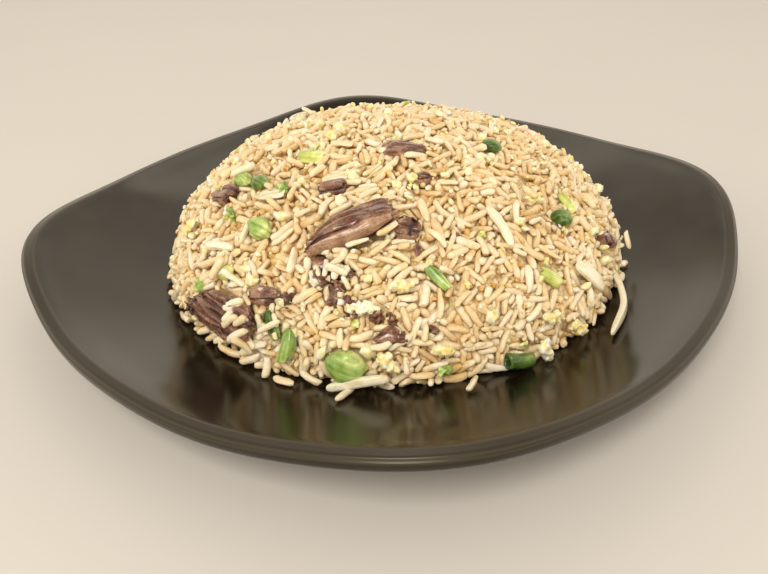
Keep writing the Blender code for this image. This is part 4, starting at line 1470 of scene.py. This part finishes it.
@dataclass
class EggCurd:
    """A torn curd of egg: lumps grown together, with a crumbly face."""

    topping: Topping
    lumps: int = 26
    voxel: float = 0.32
    raised: float = 0.7
    white: float = 0.4

    def build(self, mound: MoundShape, material: bpy.types.Material) -> bpy.types.Object:
        """Shapes and places the curd.

        Args:
            mound: The mound that it lies in.
            material: Its finish.

        Returns:
            The object.
        """
        piece = self.topping
        draw = np.random.default_rng(piece.seed())
        noise = Noise(piece.seed())
        halves = piece.halves()
        mesh = bmesh.new()
        for _ in range(self.lumps):
            size = draw.uniform(0.2, 0.42) * min(halves[1], halves[2] * 1.3)
            way = unit(draw.normal(size=3)) * draw.uniform(0.2, 1.0) ** 0.5
            place = Vector(way * (halves - size * 0.6))
            stretch = Matrix.Diagonal((*draw.uniform(0.45, 1.7, 3), 1.0))
            bmesh.ops.create_icosphere(
                mesh, subdivisions=2, radius=size, matrix=Matrix.Translation(place) @ stretch
            )
        core = Matrix.Diagonal((*(halves * np.array([0.74, 0.56, 0.42])), 1.0))
        bmesh.ops.create_icosphere(mesh, subdivisions=3, radius=1.0, matrix=core)
        data = bpy.data.meshes.new(piece.name)
        mesh.to_mesh(data)
        mesh.free()
        item = bpy.data.objects.new(piece.name + "_blank", data)
        bpy.context.scene.collection.objects.link(item)
        grown = item.modifiers.new("grow_together", "REMESH")
        grown.mode = "VOXEL"
        grown.voxel_size = self.voxel
        graph = bpy.context.evaluated_depsgraph_get()
        mesh = bmesh.new()
        mesh.from_object(item, graph)
        bpy.data.objects.remove(item)
        bmesh.ops.smooth_vert(
            mesh, verts=mesh.verts, factor=0.5, use_axis_x=True, use_axis_y=True, use_axis_z=True
        )
        points = mesh_points(mesh)
        coarse = noise.layers(points * 0.75, 2)
        fine = noise.layers(points * 2.2 + 11, 2)
        points = points + vertex_normals(mesh) * (0.42 * coarse + 0.24 * fine)[:, None]
        # Raised bumps are painted whiter and hollows yellower: painted highlight and shade over the egg's own
        # yellow and white.
        level = np.clip(self.white + 0.35 * coarse + 0.25 * fine, 0, 1)
        spot = replace(piece.spot, lift=piece.spot.lift + self.raised)
        move_points(mesh, to_world(spot.matrix(mound), points))
        return add_object(piece.name + "_curd", mesh, material, {"relief": level})


SPROUTS = (
    Topping("sprout_front", 20, 3.2, 2.8, Spot(-104.6, 85.2, 14, 4.2)),
    Topping("sprout_white", 15, 4.6, 2.6, Spot(-47.2, 70.6, -60, 1.3)),
    Topping("sprout_stalk", 14.5, 3.0, 2.6, Spot(-147.8, 56.4, 22, 1.0)),
    Topping("sprout_sliver", 16.5, 3.0, 2.4, Spot(-63.8, 44.6, -95, 1.1)),
    Topping("onion_petal", 10, 5.6, 2.4, Spot(-146.6, 36.6, 38, 1.0)),
    Topping("sprout_back", 18, 3.2, 2.8, Spot(120, 44, 20, 1.1)),
)


@dataclass
class Sprout:
    """A bean sprout's stem or a strip of onion."""

    topping: Topping

    def build(self, mound: MoundShape, material: bpy.types.Material) -> bpy.types.Object:
        """Shapes and places the strip.

        Args:
            mound: The mound that it lies in.
            material: Its finish.

        Returns:
            The object.
        """
        piece = self.topping
        noise = Noise(piece.seed())
        mesh, unit_points = rounded_block(22, 3.2)
        x, y, z = unit_points.T
        points = unit_points * piece.halves()
        points[:, 1] *= 1 + 0.10 * noise.at(np.stack([x * 2, x * 0, x * 0], -1))
        points[:, 1] += 0.035 * piece.length * (0.4 - x**2)
        points[:, 2] += 0.03 * piece.length * (0.4 - x**2)
        ribs = noise.at(np.stack([x * 1.2, y * 3.5, z * 3.5], -1))
        move_points(mesh, points)
        points = points + vertex_normals(mesh) * (0.07 * ribs)[:, None]
        move_points(mesh, to_world(piece.spot.matrix(mound), points))
        streak = np.clip(0.62 + 0.35 * ribs, 0, 1)
        return add_object(piece.name + "_strip", mesh, material, {"streak": streak})


@dataclass
class HangingSprout:
    """The sprout that leaves the mound's right side and ends on the plate."""

    route: tuple[tuple[float, float, float], ...] = (
        (76.9, -51.1, 19.5),
        (76.8, -59.3, 17.0),
        (73.4, -69.9, 16.0),
        (63.4, -84.1, 16.6),
    )
    width: float = 3.8
    thickness: float = 2.4
    node: str = "sprout_hanging"

    def at(self, share: Array) -> Array:
        """Points of the route at shares from 0 to 1."""
        points = np.array(self.route)
        padded = np.vstack([2 * points[0] - points[1], points, 2 * points[-1] - points[-2]])
        place = np.clip(share, 0, 1) * (len(points) - 1)
        span = np.minimum(place.astype(int), len(points) - 2)
        t = (place - span)[:, None]
        a, b, c, d = (padded[span + k] for k in range(4))
        bend = (2 * a - 5 * b + 4 * c - d) * t**2
        return 0.5 * (2 * b + (c - a) * t + bend + (3 * b - a - 3 * c + d) * t**3)

    def build(self, mound: MoundShape, material: bpy.types.Material) -> bpy.types.Object:
        """Bends a rounded strip along the route.

        Args:
            mound: The mound that it leaves.
            material: Its finish.

        Returns:
            The object.
        """
        mesh, unit_points = rounded_block(24, 3.4)
        noise = Noise(77)
        share = 0.5 + 0.5 * unit_points[:, 0]
        middle = self.at(share)
        ahead = unit(self.at(share + 0.02) - self.at(share - 0.02))
        outward = middle - np.array([*mound.centre, 0.0])
        outward = unit(outward - ahead * (outward * ahead).sum(1)[:, None])
        sideways = np.cross(outward, ahead)
        swell = 1 + 0.1 * noise.at(np.stack([share * 4, share * 0, share * 0], -1))
        ribs = noise.at(np.stack([share * 3, unit_points[:, 1] * 3.5, unit_points[:, 2] * 3.5], -1))
        across = unit_points[:, 1] * self.width / 2 * swell
        through = unit_points[:, 2] * self.thickness / 2 * (1 + 0.05 * ribs)
        move_points(mesh, middle + sideways * across[:, None] + outward * through[:, None])
        return add_object(self.node + "_strip", mesh, material, {"streak": np.clip(0.6 + 0.35 * ribs, 0, 1)})

    def obstacles(self) -> list[Obstacle]:
        """The strip as short blocks."""
        shares = np.linspace(0.06, 0.94, 12)
        return [
            Obstacle(Matrix.Translation(Vector(point)), (1.9, 1.9, 1.9), 2.0) for point in self.at(shares)
        ]


@dataclass(frozen=True)
class Crumbs:
    """Many small bits of one kind, strewn in the mound's outer layer."""

    name: str
    seed: int
    count: int = 0
    sizes: tuple[float, float] = (0.0, 0.0)
    depths: tuple[float, float] = (0.0, 0.0)
    spots: tuple[tuple[float, Spot], ...] = ()

    def places(self, mound: MoundShape, draw: np.random.Generator) -> tuple[Array, Array]:
        """Middles and sizes of the bits: at their own spots, or else strewn."""
        if self.spots:
            middle = np.array([spot.matrix(mound).translation[:] for _, spot in self.spots])
            return middle, np.array([size for size, _ in self.spots])
        around, down = mound.spread(draw, self.count, 86.0)
        middle = mound.point(around, down, -draw.uniform(*self.depths, self.count))
        small, large = self.sizes
        return middle, small + (large - small) * draw.random(self.count) ** 2.4

    def build(self, mound: MoundShape, material: bpy.types.Material) -> bpy.types.Object:
        """Makes the bits as one mesh.

        Args:
            mound: The mound that they lie in.
            material: Their finish.

        Returns:
            The object.
        """
        draw = np.random.default_rng(self.seed)
        noise = Noise(self.seed)
        middle, size = self.places(mound, draw)
        count = len(size)
        template = bmesh.new()
        bmesh.ops.create_icosphere(template, subdivisions=3 if self.spots else 2, radius=1.0)
        ball, faces = take_template(template)
        first = unit(draw.normal(size=(count, 3)))
        second = unit(np.cross(first, draw.normal(size=(count, 3))))
        axes = np.stack([first, second, np.cross(first, second)], 1) * draw.uniform(0.5, 1.5, (count, 3, 1))
        away = np.einsum("vk,gkc->gvc", ball, axes) * (size / 2)[:, None, None]
        points = middle[:, None] + away
        rough = noise.layers(points.reshape(-1, 3) * 1.3, 2)
        swell = 0.56 * rough.reshape(count, -1)
        level = np.clip(0.5 + 0.5 * rough, 0, 1)
        values = {"relief": level, "streak": level, "tint_and_depth_shade": level, "fibre": 0.1 + 0.5 * level, "wet": level}
        data = join_copies(self.name, points + away * swell[..., None], faces)
        return add_mesh(self.name, data, material, values)


@dataclass
class Core:
    """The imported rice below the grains, closed underneath, with hollows as long as grains."""

    shell: float = 3.4

    def build(self, mound: MoundShape, plate: PlateShape, material: bpy.types.Material) -> bpy.types.Object:
        """Shapes the core.

        Args:
            mound: The mound's form.
            plate: The plate that it stands on.
            material: Its finish.

        Returns:
            The object.
        """
        mesh = bmesh.new()
        bmesh.ops.create_icosphere(mesh, subdivisions=7, radius=1.0)
        ball = mesh_points(mesh)
        around = np.arctan2(ball[:, 1], ball[:, 0])
        down = np.arccos(np.clip(ball[:, 2], -1, 1))
        top = np.minimum(down, math.pi / 2)
        points = mound.point(around, top, np.full(len(ball), -self.shell))
        noise = Noise(21)
        lumps = noise.layers(points * 0.42, 3)
        points = mound.point(around, top, -self.shell + 1.2 * lumps)
        share = np.clip((down - math.pi / 2) / (math.pi / 2), 0, 1)
        inside = (1 - share)[:, None]
        middle = np.array([*mound.centre, 0.0])
        under = middle + (points - middle) * inside
        under[:, 2] = plate.top_at(under[:, 0], under[:, 1]) + 0.4
        points = np.where((down > math.pi / 2)[:, None], under, points)
        points[:, 2] = np.maximum(points[:, 2], plate.top_at(points[:, 0], points[:, 1]) + 0.4)
        move_points(mesh, points)
        return add_object("rice_core", mesh, material, {"relief": np.clip(0.5 + 0.45 * lumps, 0, 1)})


@dataclass
class Plate:
    """The dressed plate: a turned profile, then warped square."""

    shape: PlateShape
    sides: int = 256
    wall_steps: int = 26

    def profile(self) -> list[tuple[float, float]]:
        """Radius and height of the turned plate, from the well's middle over the lip to the foot's."""
        shape = self.shape
        level = shape.rim_height - shape.lip_crown
        points = [(0.0, shape.well_height), (34.0, shape.well_height)]
        start = shape.rim_radius * shape.well_share
        end = shape.rim_radius - shape.lip_width
        for i in range(self.wall_steps + 1):
            radius = start + (end - start) * i / self.wall_steps
            rise = float(shape.wall_rise(np.array(radius / shape.rim_radius)))
            points.append((radius, shape.well_height + (level - shape.well_height) * rise))
        edge = shape.rim_radius
        top = shape.rim_height
        lip = ((-4.9, -0.40), (-4.5, -0.2), (-4.0, -0.05), (-3.4, 0.0))
        lip += ((-2.7, -0.08), (-2.0, -0.03), (-1.4, -0.06))
        turned = ((-1.0, -0.2), (-0.72, -0.5), (-0.6, -0.82), (-0.42, -0.98), (-0.16, -1.08), (0.0, -1.35))
        wall = ((0.0, -2.3), (-0.08, -3.3), (-0.28, -4.1), (-0.62, -4.65), (-1.2, -4.98), (-2.2, -5.1))
        points += [(edge + r, top + z) for r, z in lip + turned + wall]
        for share in (0.95, 0.9, 0.85, 0.8, 0.75, 0.7, 0.66, 0.62):
            rise = float(shape.wall_rise(np.array(share)))
            height = shape.well_height + (level - shape.well_height) * rise - shape.thickness
            points.append((edge * share, height))
        half = shape.foot_width / 2
        under = shape.well_height - shape.thickness
        ring = ((half + 1.4, under), (half + 0.9, under - 0.6), (half + 0.5, 0.9))
        ring += ((half + 0.2, 0.3), (half - 0.3, 0.0))
        points += [(shape.foot_radius + r, z) for r, z in ring]
        points += [(shape.foot_radius - r, z) for r, z in reversed(ring)]
        points += [(40.0, under), (0.0, under)]
        return points

    def build(self, material: bpy.types.Material) -> bpy.types.Object:
        """Turns the profile and warps it.

        Args:
            material: The glaze.

        Returns:
            The object.
        """
        mesh = bmesh.new()
        verts = [mesh.verts.new((radius, 0.0, height)) for radius, height in self.profile()]
        edges = [mesh.edges.new(pair) for pair in zip(verts, verts[1:])]
        bmesh.ops.spin(
            mesh,
            geom=verts + edges,
            cent=(0, 0, 0),
            axis=(0, 0, 1),
            angle=FULL_TURN,
            steps=self.sides,
            use_merge=True,
        )
        bmesh.ops.remove_doubles(mesh, verts=mesh.verts, dist=1e-4)
        points = mesh_points(mesh)
        wear = np.clip(1 - points[:, 2] / 0.5, 0, 1)
        inset = self.shape.rim_radius - np.hypot(points[:, 0], points[:, 1])
        raised = points[:, 2] > self.shape.rim_height - 2.0
        # The lip mask lightens the glaze there as a painted sheen and roughens it.
        lip = np.where(raised, 1 - smooth_step(4.2, 5.4, inset), 0.0)
        move_points(mesh, self.shape.warp(points))
        return add_object("plate_body", mesh, material, {"wear": wear, "lip": lip})


@dataclass
class Stage:
    """Floor, light and camera."""

    camera_turn: float = 6.075
    camera_pitch: float = 33.008
    camera_roll: float = -2.194
    camera_distance: float = 244.06
    target: tuple[float, float, float] = (-1.573, -56.6, 25.0)
    focal_pixels: float = 711.6
    key_power: float = 8.5
    ceiling_power: float = 1.3
    wall_strength: float = 1.5
    ceiling_strength: float = 0.46
    world_colour: Colour = (1.0, 0.895, 0.75)
    wall_top: float = 0.42
    ceiling_start: float = 0.64
    lamp_size: tuple[float, float] = (0.5, 0.5)
    lamp_colour: Colour = (1.0, 0.93, 0.82)

    def camera(self) -> None:
        """Sets the camera where the photograph was taken from."""
        data = bpy.data.cameras.new("camera")
        data.sensor_width = SENSOR_WIDTH
        data.lens = self.focal_pixels / IMAGE_WIDTH * SENSOR_WIDTH
        data.clip_start = 0.01
        item = bpy.data.objects.new("camera", data)
        bpy.context.scene.collection.objects.link(item)
        aim = Matrix.Rotation(-math.radians(self.camera_turn), 4, "Z")
        aim @= Matrix.Translation(Vector(self.target) * MM)
        aim @= Matrix.Rotation(math.radians(90 - self.camera_pitch), 4, "X")
        aim @= Matrix.Rotation(math.radians(self.camera_roll), 4, "Z")
        item.matrix_world = aim @ Matrix.Translation((0, 0, self.camera_distance * MM))
        bpy.context.scene.camera = item

    def lamp(self, name: str, power: float, place: tuple[float, float, float]) -> None:
        """Adds a soft light that faces the plate.

        Args:
            name: The light's name.
            power: Its power in watts.
            place: Where it hangs, in metres.
        """
        data = bpy.data.lights.new(name, "AREA")
        data.shape = "RECTANGLE"
        data.size, data.size_y = self.lamp_size
        data.energy = power
        data.color = self.lamp_colour
        item = bpy.data.objects.new(name, data)
        item.location = place
        item.rotation_euler = (Vector((0, 0, 0)) - Vector(place)).to_track_quat("-Z", "Y").to_euler()
        bpy.context.scene.collection.objects.link(item)

    def build(self) -> None:
        """Makes the floor, the lights, the world and the camera."""
        mesh = bmesh.new()
        bmesh.ops.create_grid(mesh, x_segments=8, y_segments=8, size=4000.0)
        floor = add_object("floor", mesh, FloorFinish().make())
        self.lamp("key_light", self.key_power, (-0.3, -0.72, 0.98))
        self.lamp("ceiling_light", self.ceiling_power, (0.02, 0.93, 1.1))
        world = bpy.data.worlds.new("room")
        world.use_nodes = True
        tree = world.node_tree
        back = tree.nodes["Background"]
        back.inputs["Color"].default_value = (*self.world_colour, 1.0)
        split = tree.nodes.new("ShaderNodeSeparateXYZ")
        tree.links.new(tree.nodes.new("ShaderNodeTexCoord").outputs["Generated"], split.inputs["Vector"])
        rise = tree.nodes.new("ShaderNodeMapRange")
        for key, number in (
            ("From Min", self.wall_top),
            ("From Max", self.ceiling_start),
            ("To Min", self.wall_strength),
            ("To Max", self.ceiling_strength),
        ):
            rise.inputs[key].default_value = number
        tree.links.new(split.outputs["Z"], rise.inputs["Value"])
        tree.links.new(rise.outputs["Result"], back.inputs["Strength"])
        scene = bpy.context.scene
        scene.world = world
        scene.view_settings.view_transform = "Standard"
        self.camera()


CLEAR_PIECES = ("beef_top", "green_front", "egg_front", "egg_low")
# These curds are painted whiter than the rest: part egg white, part painted highlight where they face the
# light.
WHITE_HIGHLIT_EGGS = ("egg_front", "egg_foot")
BEEF_BITS = (
    (4.6, Spot(-110.5, 59.7, 0, -0.8)),
    (3.6, Spot(-107.8, 60.6, 0, -0.8)),
    (4.2, Spot(-106.5, 63.1, 0, -0.8)),
    (4.8, Spot(-101.2, 63.8, 0, -0.8)),
    (3.6, Spot(-98.0, 65.3, 0, -0.7)),
    (5.0, Spot(-97.0, 71.3, 0, -0.8)),
    (4.6, Spot(-115.5, 55.9, 0, -0.7)),
    (4.2, Spot(-110.5, 57.2, 0, -0.7)),
    (3.4, Spot(-122.0, 62.2, 0, -0.4)),
    (3.0, Spot(-90.2, 45.7, 0, -0.5)),
    (3.0, Spot(-77.4, 43.5, 0, -0.5)),
    (2.6, Spot(-61.6, 40.8, 0, -0.4)),
    (3.4, Spot(-89.3, 69.4, 0, -0.6)),
)
GREEN_BITS = (
    (5.0, Spot(-144.8, 33.8, 0, 0.4)),
    (4.0, Spot(-153.3, 47.3, 0, 0.4)),
    (3.6, Spot(-147.3, 70.0, 0, 0.4)),
    (4.4, Spot(-155.7, 21.0, 0, 0.4)),
    (3.0, Spot(-88.0, 84.0, 0, 1.0)),
)


def laid_grains(mound: MoundShape) -> Grains:
    """Grains laid one by one where the photograph shows one clearly."""
    spots = (
        (8.5, 2.5, Spot(-121.3, 35.0, 84, 1.5)),
        (9.0, 2.3, Spot(-109.4, 48.4, 1, 1.9)),
        (8.1, 1.9, Spot(-106.9, 45.1, 27, 3.3)),
        (8.4, 2.0, Spot(-98.3, 41.2, 37, 3.5)),
        (8.2, 1.9, Spot(-100.6, 45.5, 44, 1.9)),
        (6.1, 2.0, Spot(-114.0, 51.9, 99, 1.8)),
        (5.4, 2.2, Spot(-111.2, 52.6, 84, 1.8)),
        (5.0, 2.0, Spot(-108.3, 55.5, -56, 1.1)),
        (4.3, 2.2, Spot(-115.3, 48.2, -1, 3.0)),
        (5.8, 2.0, Spot(-116.6, 55.4, -61, 1.4)),
        (4.9, 1.9, Spot(-115.8, 53.3, -51, 1.6)),
        (8.1, 2.3, Spot(-93.0, 34.1, 5, 1.4)),
        (6.2, 2.2, Spot(-103.6, 49.2, -10, 1.5)),
        (6.2, 2.3, Spot(-128.0, 38.3, 43, 1.2)),
        (9.6, 2.7, Spot(-134.5, 88.3, -2, 1.1, 0, -5)),
        (9.7, 2.4, Spot(-127.1, 80.6, 26, 1.2)),
        (8.0, 2.6, Spot(-128.5, 86.9, 31, 1.9, 0, -18)),
        (7.1, 2.6, Spot(-123.6, 85.9, 95, 3.2, 0, -20)),
        (8.3, 2.5, Spot(-119.2, 88.5, 2, 4.8, 0, 6)),
        (6.6, 2.6, Spot(-151.3, 81.1, -43, 1.0)),
        (4.6, 1.7, Spot(-138.9, 67.4, -38, 3.2)),
        (4.0, 1.8, Spot(-124.9, 73.3, -60, 2.6)),
        (4.7, 1.7, Spot(-122.6, 69.4, -57, 2.5)),
        (2.5, 1.9, Spot(-122.1, 74.3, -60, 2.6)),
        (7.6, 2.6, Spot(-132.6, 69.2, 28, 5.2)),
        (7.8, 2.6, Spot(-132.6, 73.6, 45, 5.2)),
        (9.5, 2.8, Spot(-130.6, 77.6, 40, 4.6)),
        (7.6, 2.4, Spot(-129.8, 72.6, 33, 4.0)),
        (5.1, 2.3, Spot(-128.2, 79.9, -37, 2.2)),
        (7.0, 2.9, Spot(-132.2, 67.9, 31, 5.4, 0, 1)),
        (5.6, 2.9, Spot(-133.1, 72.2, 67, 5.2, 0, 1)),
        (6.1, 2.7, Spot(-129.9, 72.3, 48, 5.3, 0, 1)),
        (9.0, 2.5, Spot(-106.4, 87.2, -19, 7.2, 0, -66)),
        (8.6, 2.4, Spot(-83.6, 86.6, 1, 6.1, 0, -51)),
        (8.3, 2.4, Spot(-114.1, 88.1, -14, 1.2, 0, 9)),
        (7.5, 2.3, Spot(-22.0, 78.0, 60, 3.0)),
        (6.0, 2.3, Spot(-31.0, 80.0, -20, 2.5)),
        (5.5, 2.1, Spot(-91.2, 69.7, 77, 0.8)),
        (7.1, 2.2, Spot(-82.1, 60.9, 33, 1.0)),
        (8.2, 2.2, Spot(-84.1, 43.8, -63, 1.5)),
        (9.9, 2.3, Spot(-85.9, 35.6, -88, 1.5)),
        (8.6, 2.3, Spot(-100.0, 32.0, 33, 1.5)),
    )
    middle = []
    direction = []
    for _, _, spot in spots:
        matrix = spot.matrix(mound)
        middle.append(matrix.translation[:])
        direction.append(matrix.to_3x3().col[0][:])
    count = len(spots)
    length = np.array([row[0] for row in spots])
    width = np.array([row[1] for row in spots])
    return Grains(
        np.array(middle), unit(np.array(direction)), length, width, np.ones(count, bool), np.zeros(count)
    )


@dataclass
class FriedRice:
    """All the food: core, grains, toppings and crumbs."""

    plate: PlateShape
    mound: MoundShape
    hanging: HangingSprout = field(default_factory=HangingSprout)
    large_length: float = 25.0
    large_share: float = 0.94
    small_beef_share: float = 0.72
    clear_height: float = 1.7
    egg_white_and_highlight: float = 0.66
    patch_seed: int = 4
    shape_seed: int = 8

    def obstacles(self) -> list[Obstacle]:
        """Every topping as the grains feel it."""
        pieces = [*BEEF, *(green.topping for green in GREENS), *EGGS, *SPROUTS]
        found = []
        for piece in pieces:
            large = piece.length > self.large_length or not piece.name.startswith("beef")
            share = self.large_share if large else self.small_beef_share
            clear = self.clear_height if piece.name in CLEAR_PIECES else 1.0
            halves = piece.halves() * share * np.array([1, 1, clear])
            found.append(Obstacle(piece.spot.matrix(self.mound), tuple(halves)))
        return found + self.hanging.obstacles()

    def toppings(self) -> None:
        """Builds the beef, greens, egg and sprouts."""
        beef = BeefFinish().make()
        for piece in BEEF:
            if piece.name == "beef_top":
                meat = FoldedSlice(piece, crease_shade_strength=0.08)
            elif piece.name == "beef_foot":
                meat = BundledSlice(piece, fibre_turn=-7.0)
            else:
                meat = BeefSlice(piece, sink=1.1)
            dress(meat.build(self.mound, beef), "beef", piece.name)
        tones = {tone: GreenFinish(f"green_{tone.name.lower()}", *tone.value).make() for tone in GreenTone}
        for green in GREENS:
            dress(green.build(self.mound, tones[green.tone]), "greens", green.topping.name)
        egg = EggFinish().make()
        for piece in EGGS:
            curd = EggCurd(piece, white=self.egg_white_and_highlight) if piece.name in WHITE_HIGHLIT_EGGS else EggCurd(piece)
            dress(curd.build(self.mound, egg), "egg", piece.name)
        sprout = SproutFinish().make()
        for piece in SPROUTS:
            petal = GreenPiece(piece, GreenForm.LEAF, GreenTone.PALE)
            strip = petal if piece.name == "onion_petal" else Sprout(piece)
            dress(strip.build(self.mound, sprout), "sprout", piece.name)
        dress(self.hanging.build(self.mound, sprout), "sprout", self.hanging.node)

    def grains(self) -> None:
        """Packs the grains and writes one piece for each kind."""
        packing = GrainPacking(self.mound, self.plate, self.obstacles())
        grains = packing.settle(laid_grains(self.mound))
        draw = np.random.default_rng(self.shape_seed)
        shares = np.cumsum([kind.value[1] for kind in GrainKind])
        patch = 0.14 * (Noise(self.patch_seed).at(grains.middle * 0.06) + 1) / 2 * 1.6
        place = np.clip(draw.random(len(grains.length)) * 0.86 + patch - 0.04, 0, 0.999)
        picks = np.searchsorted(shares, place)
        for index, kind in enumerate(GrainKind):
            name, _ = kind.value
            finish = RiceFinish(name, *RICE_TONES[kind]).make()
            item = GrainMesher(self.mound).build(name, grains.only(picks == index), finish, draw)
            dress(item, "rice", "rice_mound")

    def crumbs(self) -> None:
        """Strews the small bits."""
        curd = EggFinish("egg_crumb_finish")
        brown = EggFinish("browned_finish", *BROWNED_TONES)
        leaf = GreenFinish("green_crumb_finish", *GreenTone.PALE.value)
        mush = RiceFinish("rice_mush_finish", *MUSH_TONES)
        fresh = GreenFinish("green_bit_finish", *GreenTone.FRESH.value)
        rows = (
            (Crumbs("egg_crumbs", 31, 620, (0.8, 3.8), (-1.3, 1.2)), curd, "egg"),
            (Crumbs("browned_crumbs", 32, 260, (0.6, 2.4), (-0.4, 2.0)), brown, "rice"),
            (Crumbs("green_crumbs", 33, 70, (0.8, 3.4), (-0.8, 1.4)), leaf, "greens"),
            (Crumbs("rice_mush", 34, 2200, (0.9, 2.6), (1.3, 3.4)), mush, "rice"),
            (Crumbs("beef_bits", 35, spots=BEEF_BITS), BeefFinish(), "beef"),
            (Crumbs("green_bits", 36, spots=GREEN_BITS), fresh, "greens"),
        )
        for bits, finish, slot in rows:
            dress(bits.build(self.mound, finish.make()), slot)

    def build(self) -> None:
        """Builds all the food."""
        core = Core().build(self.mound, self.plate, CoreFinish().make())
        dress(core, "rice", "rice_mound")
        self.toppings()
        self.grains()
        self.crumbs()


def main() -> None:
    """Builds the stage, the plate and the food."""
    logging.basicConfig(level=logging.INFO, format="%(name)s %(message)s")
    shape = PlateShape()
    Stage().build()
    dress(Plate(shape).build(GlazeFinish().make()), "plate_glaze", "plate")
    FriedRice(shape, MoundShape(shape)).build()


if __name__ == "__main__":
    main()
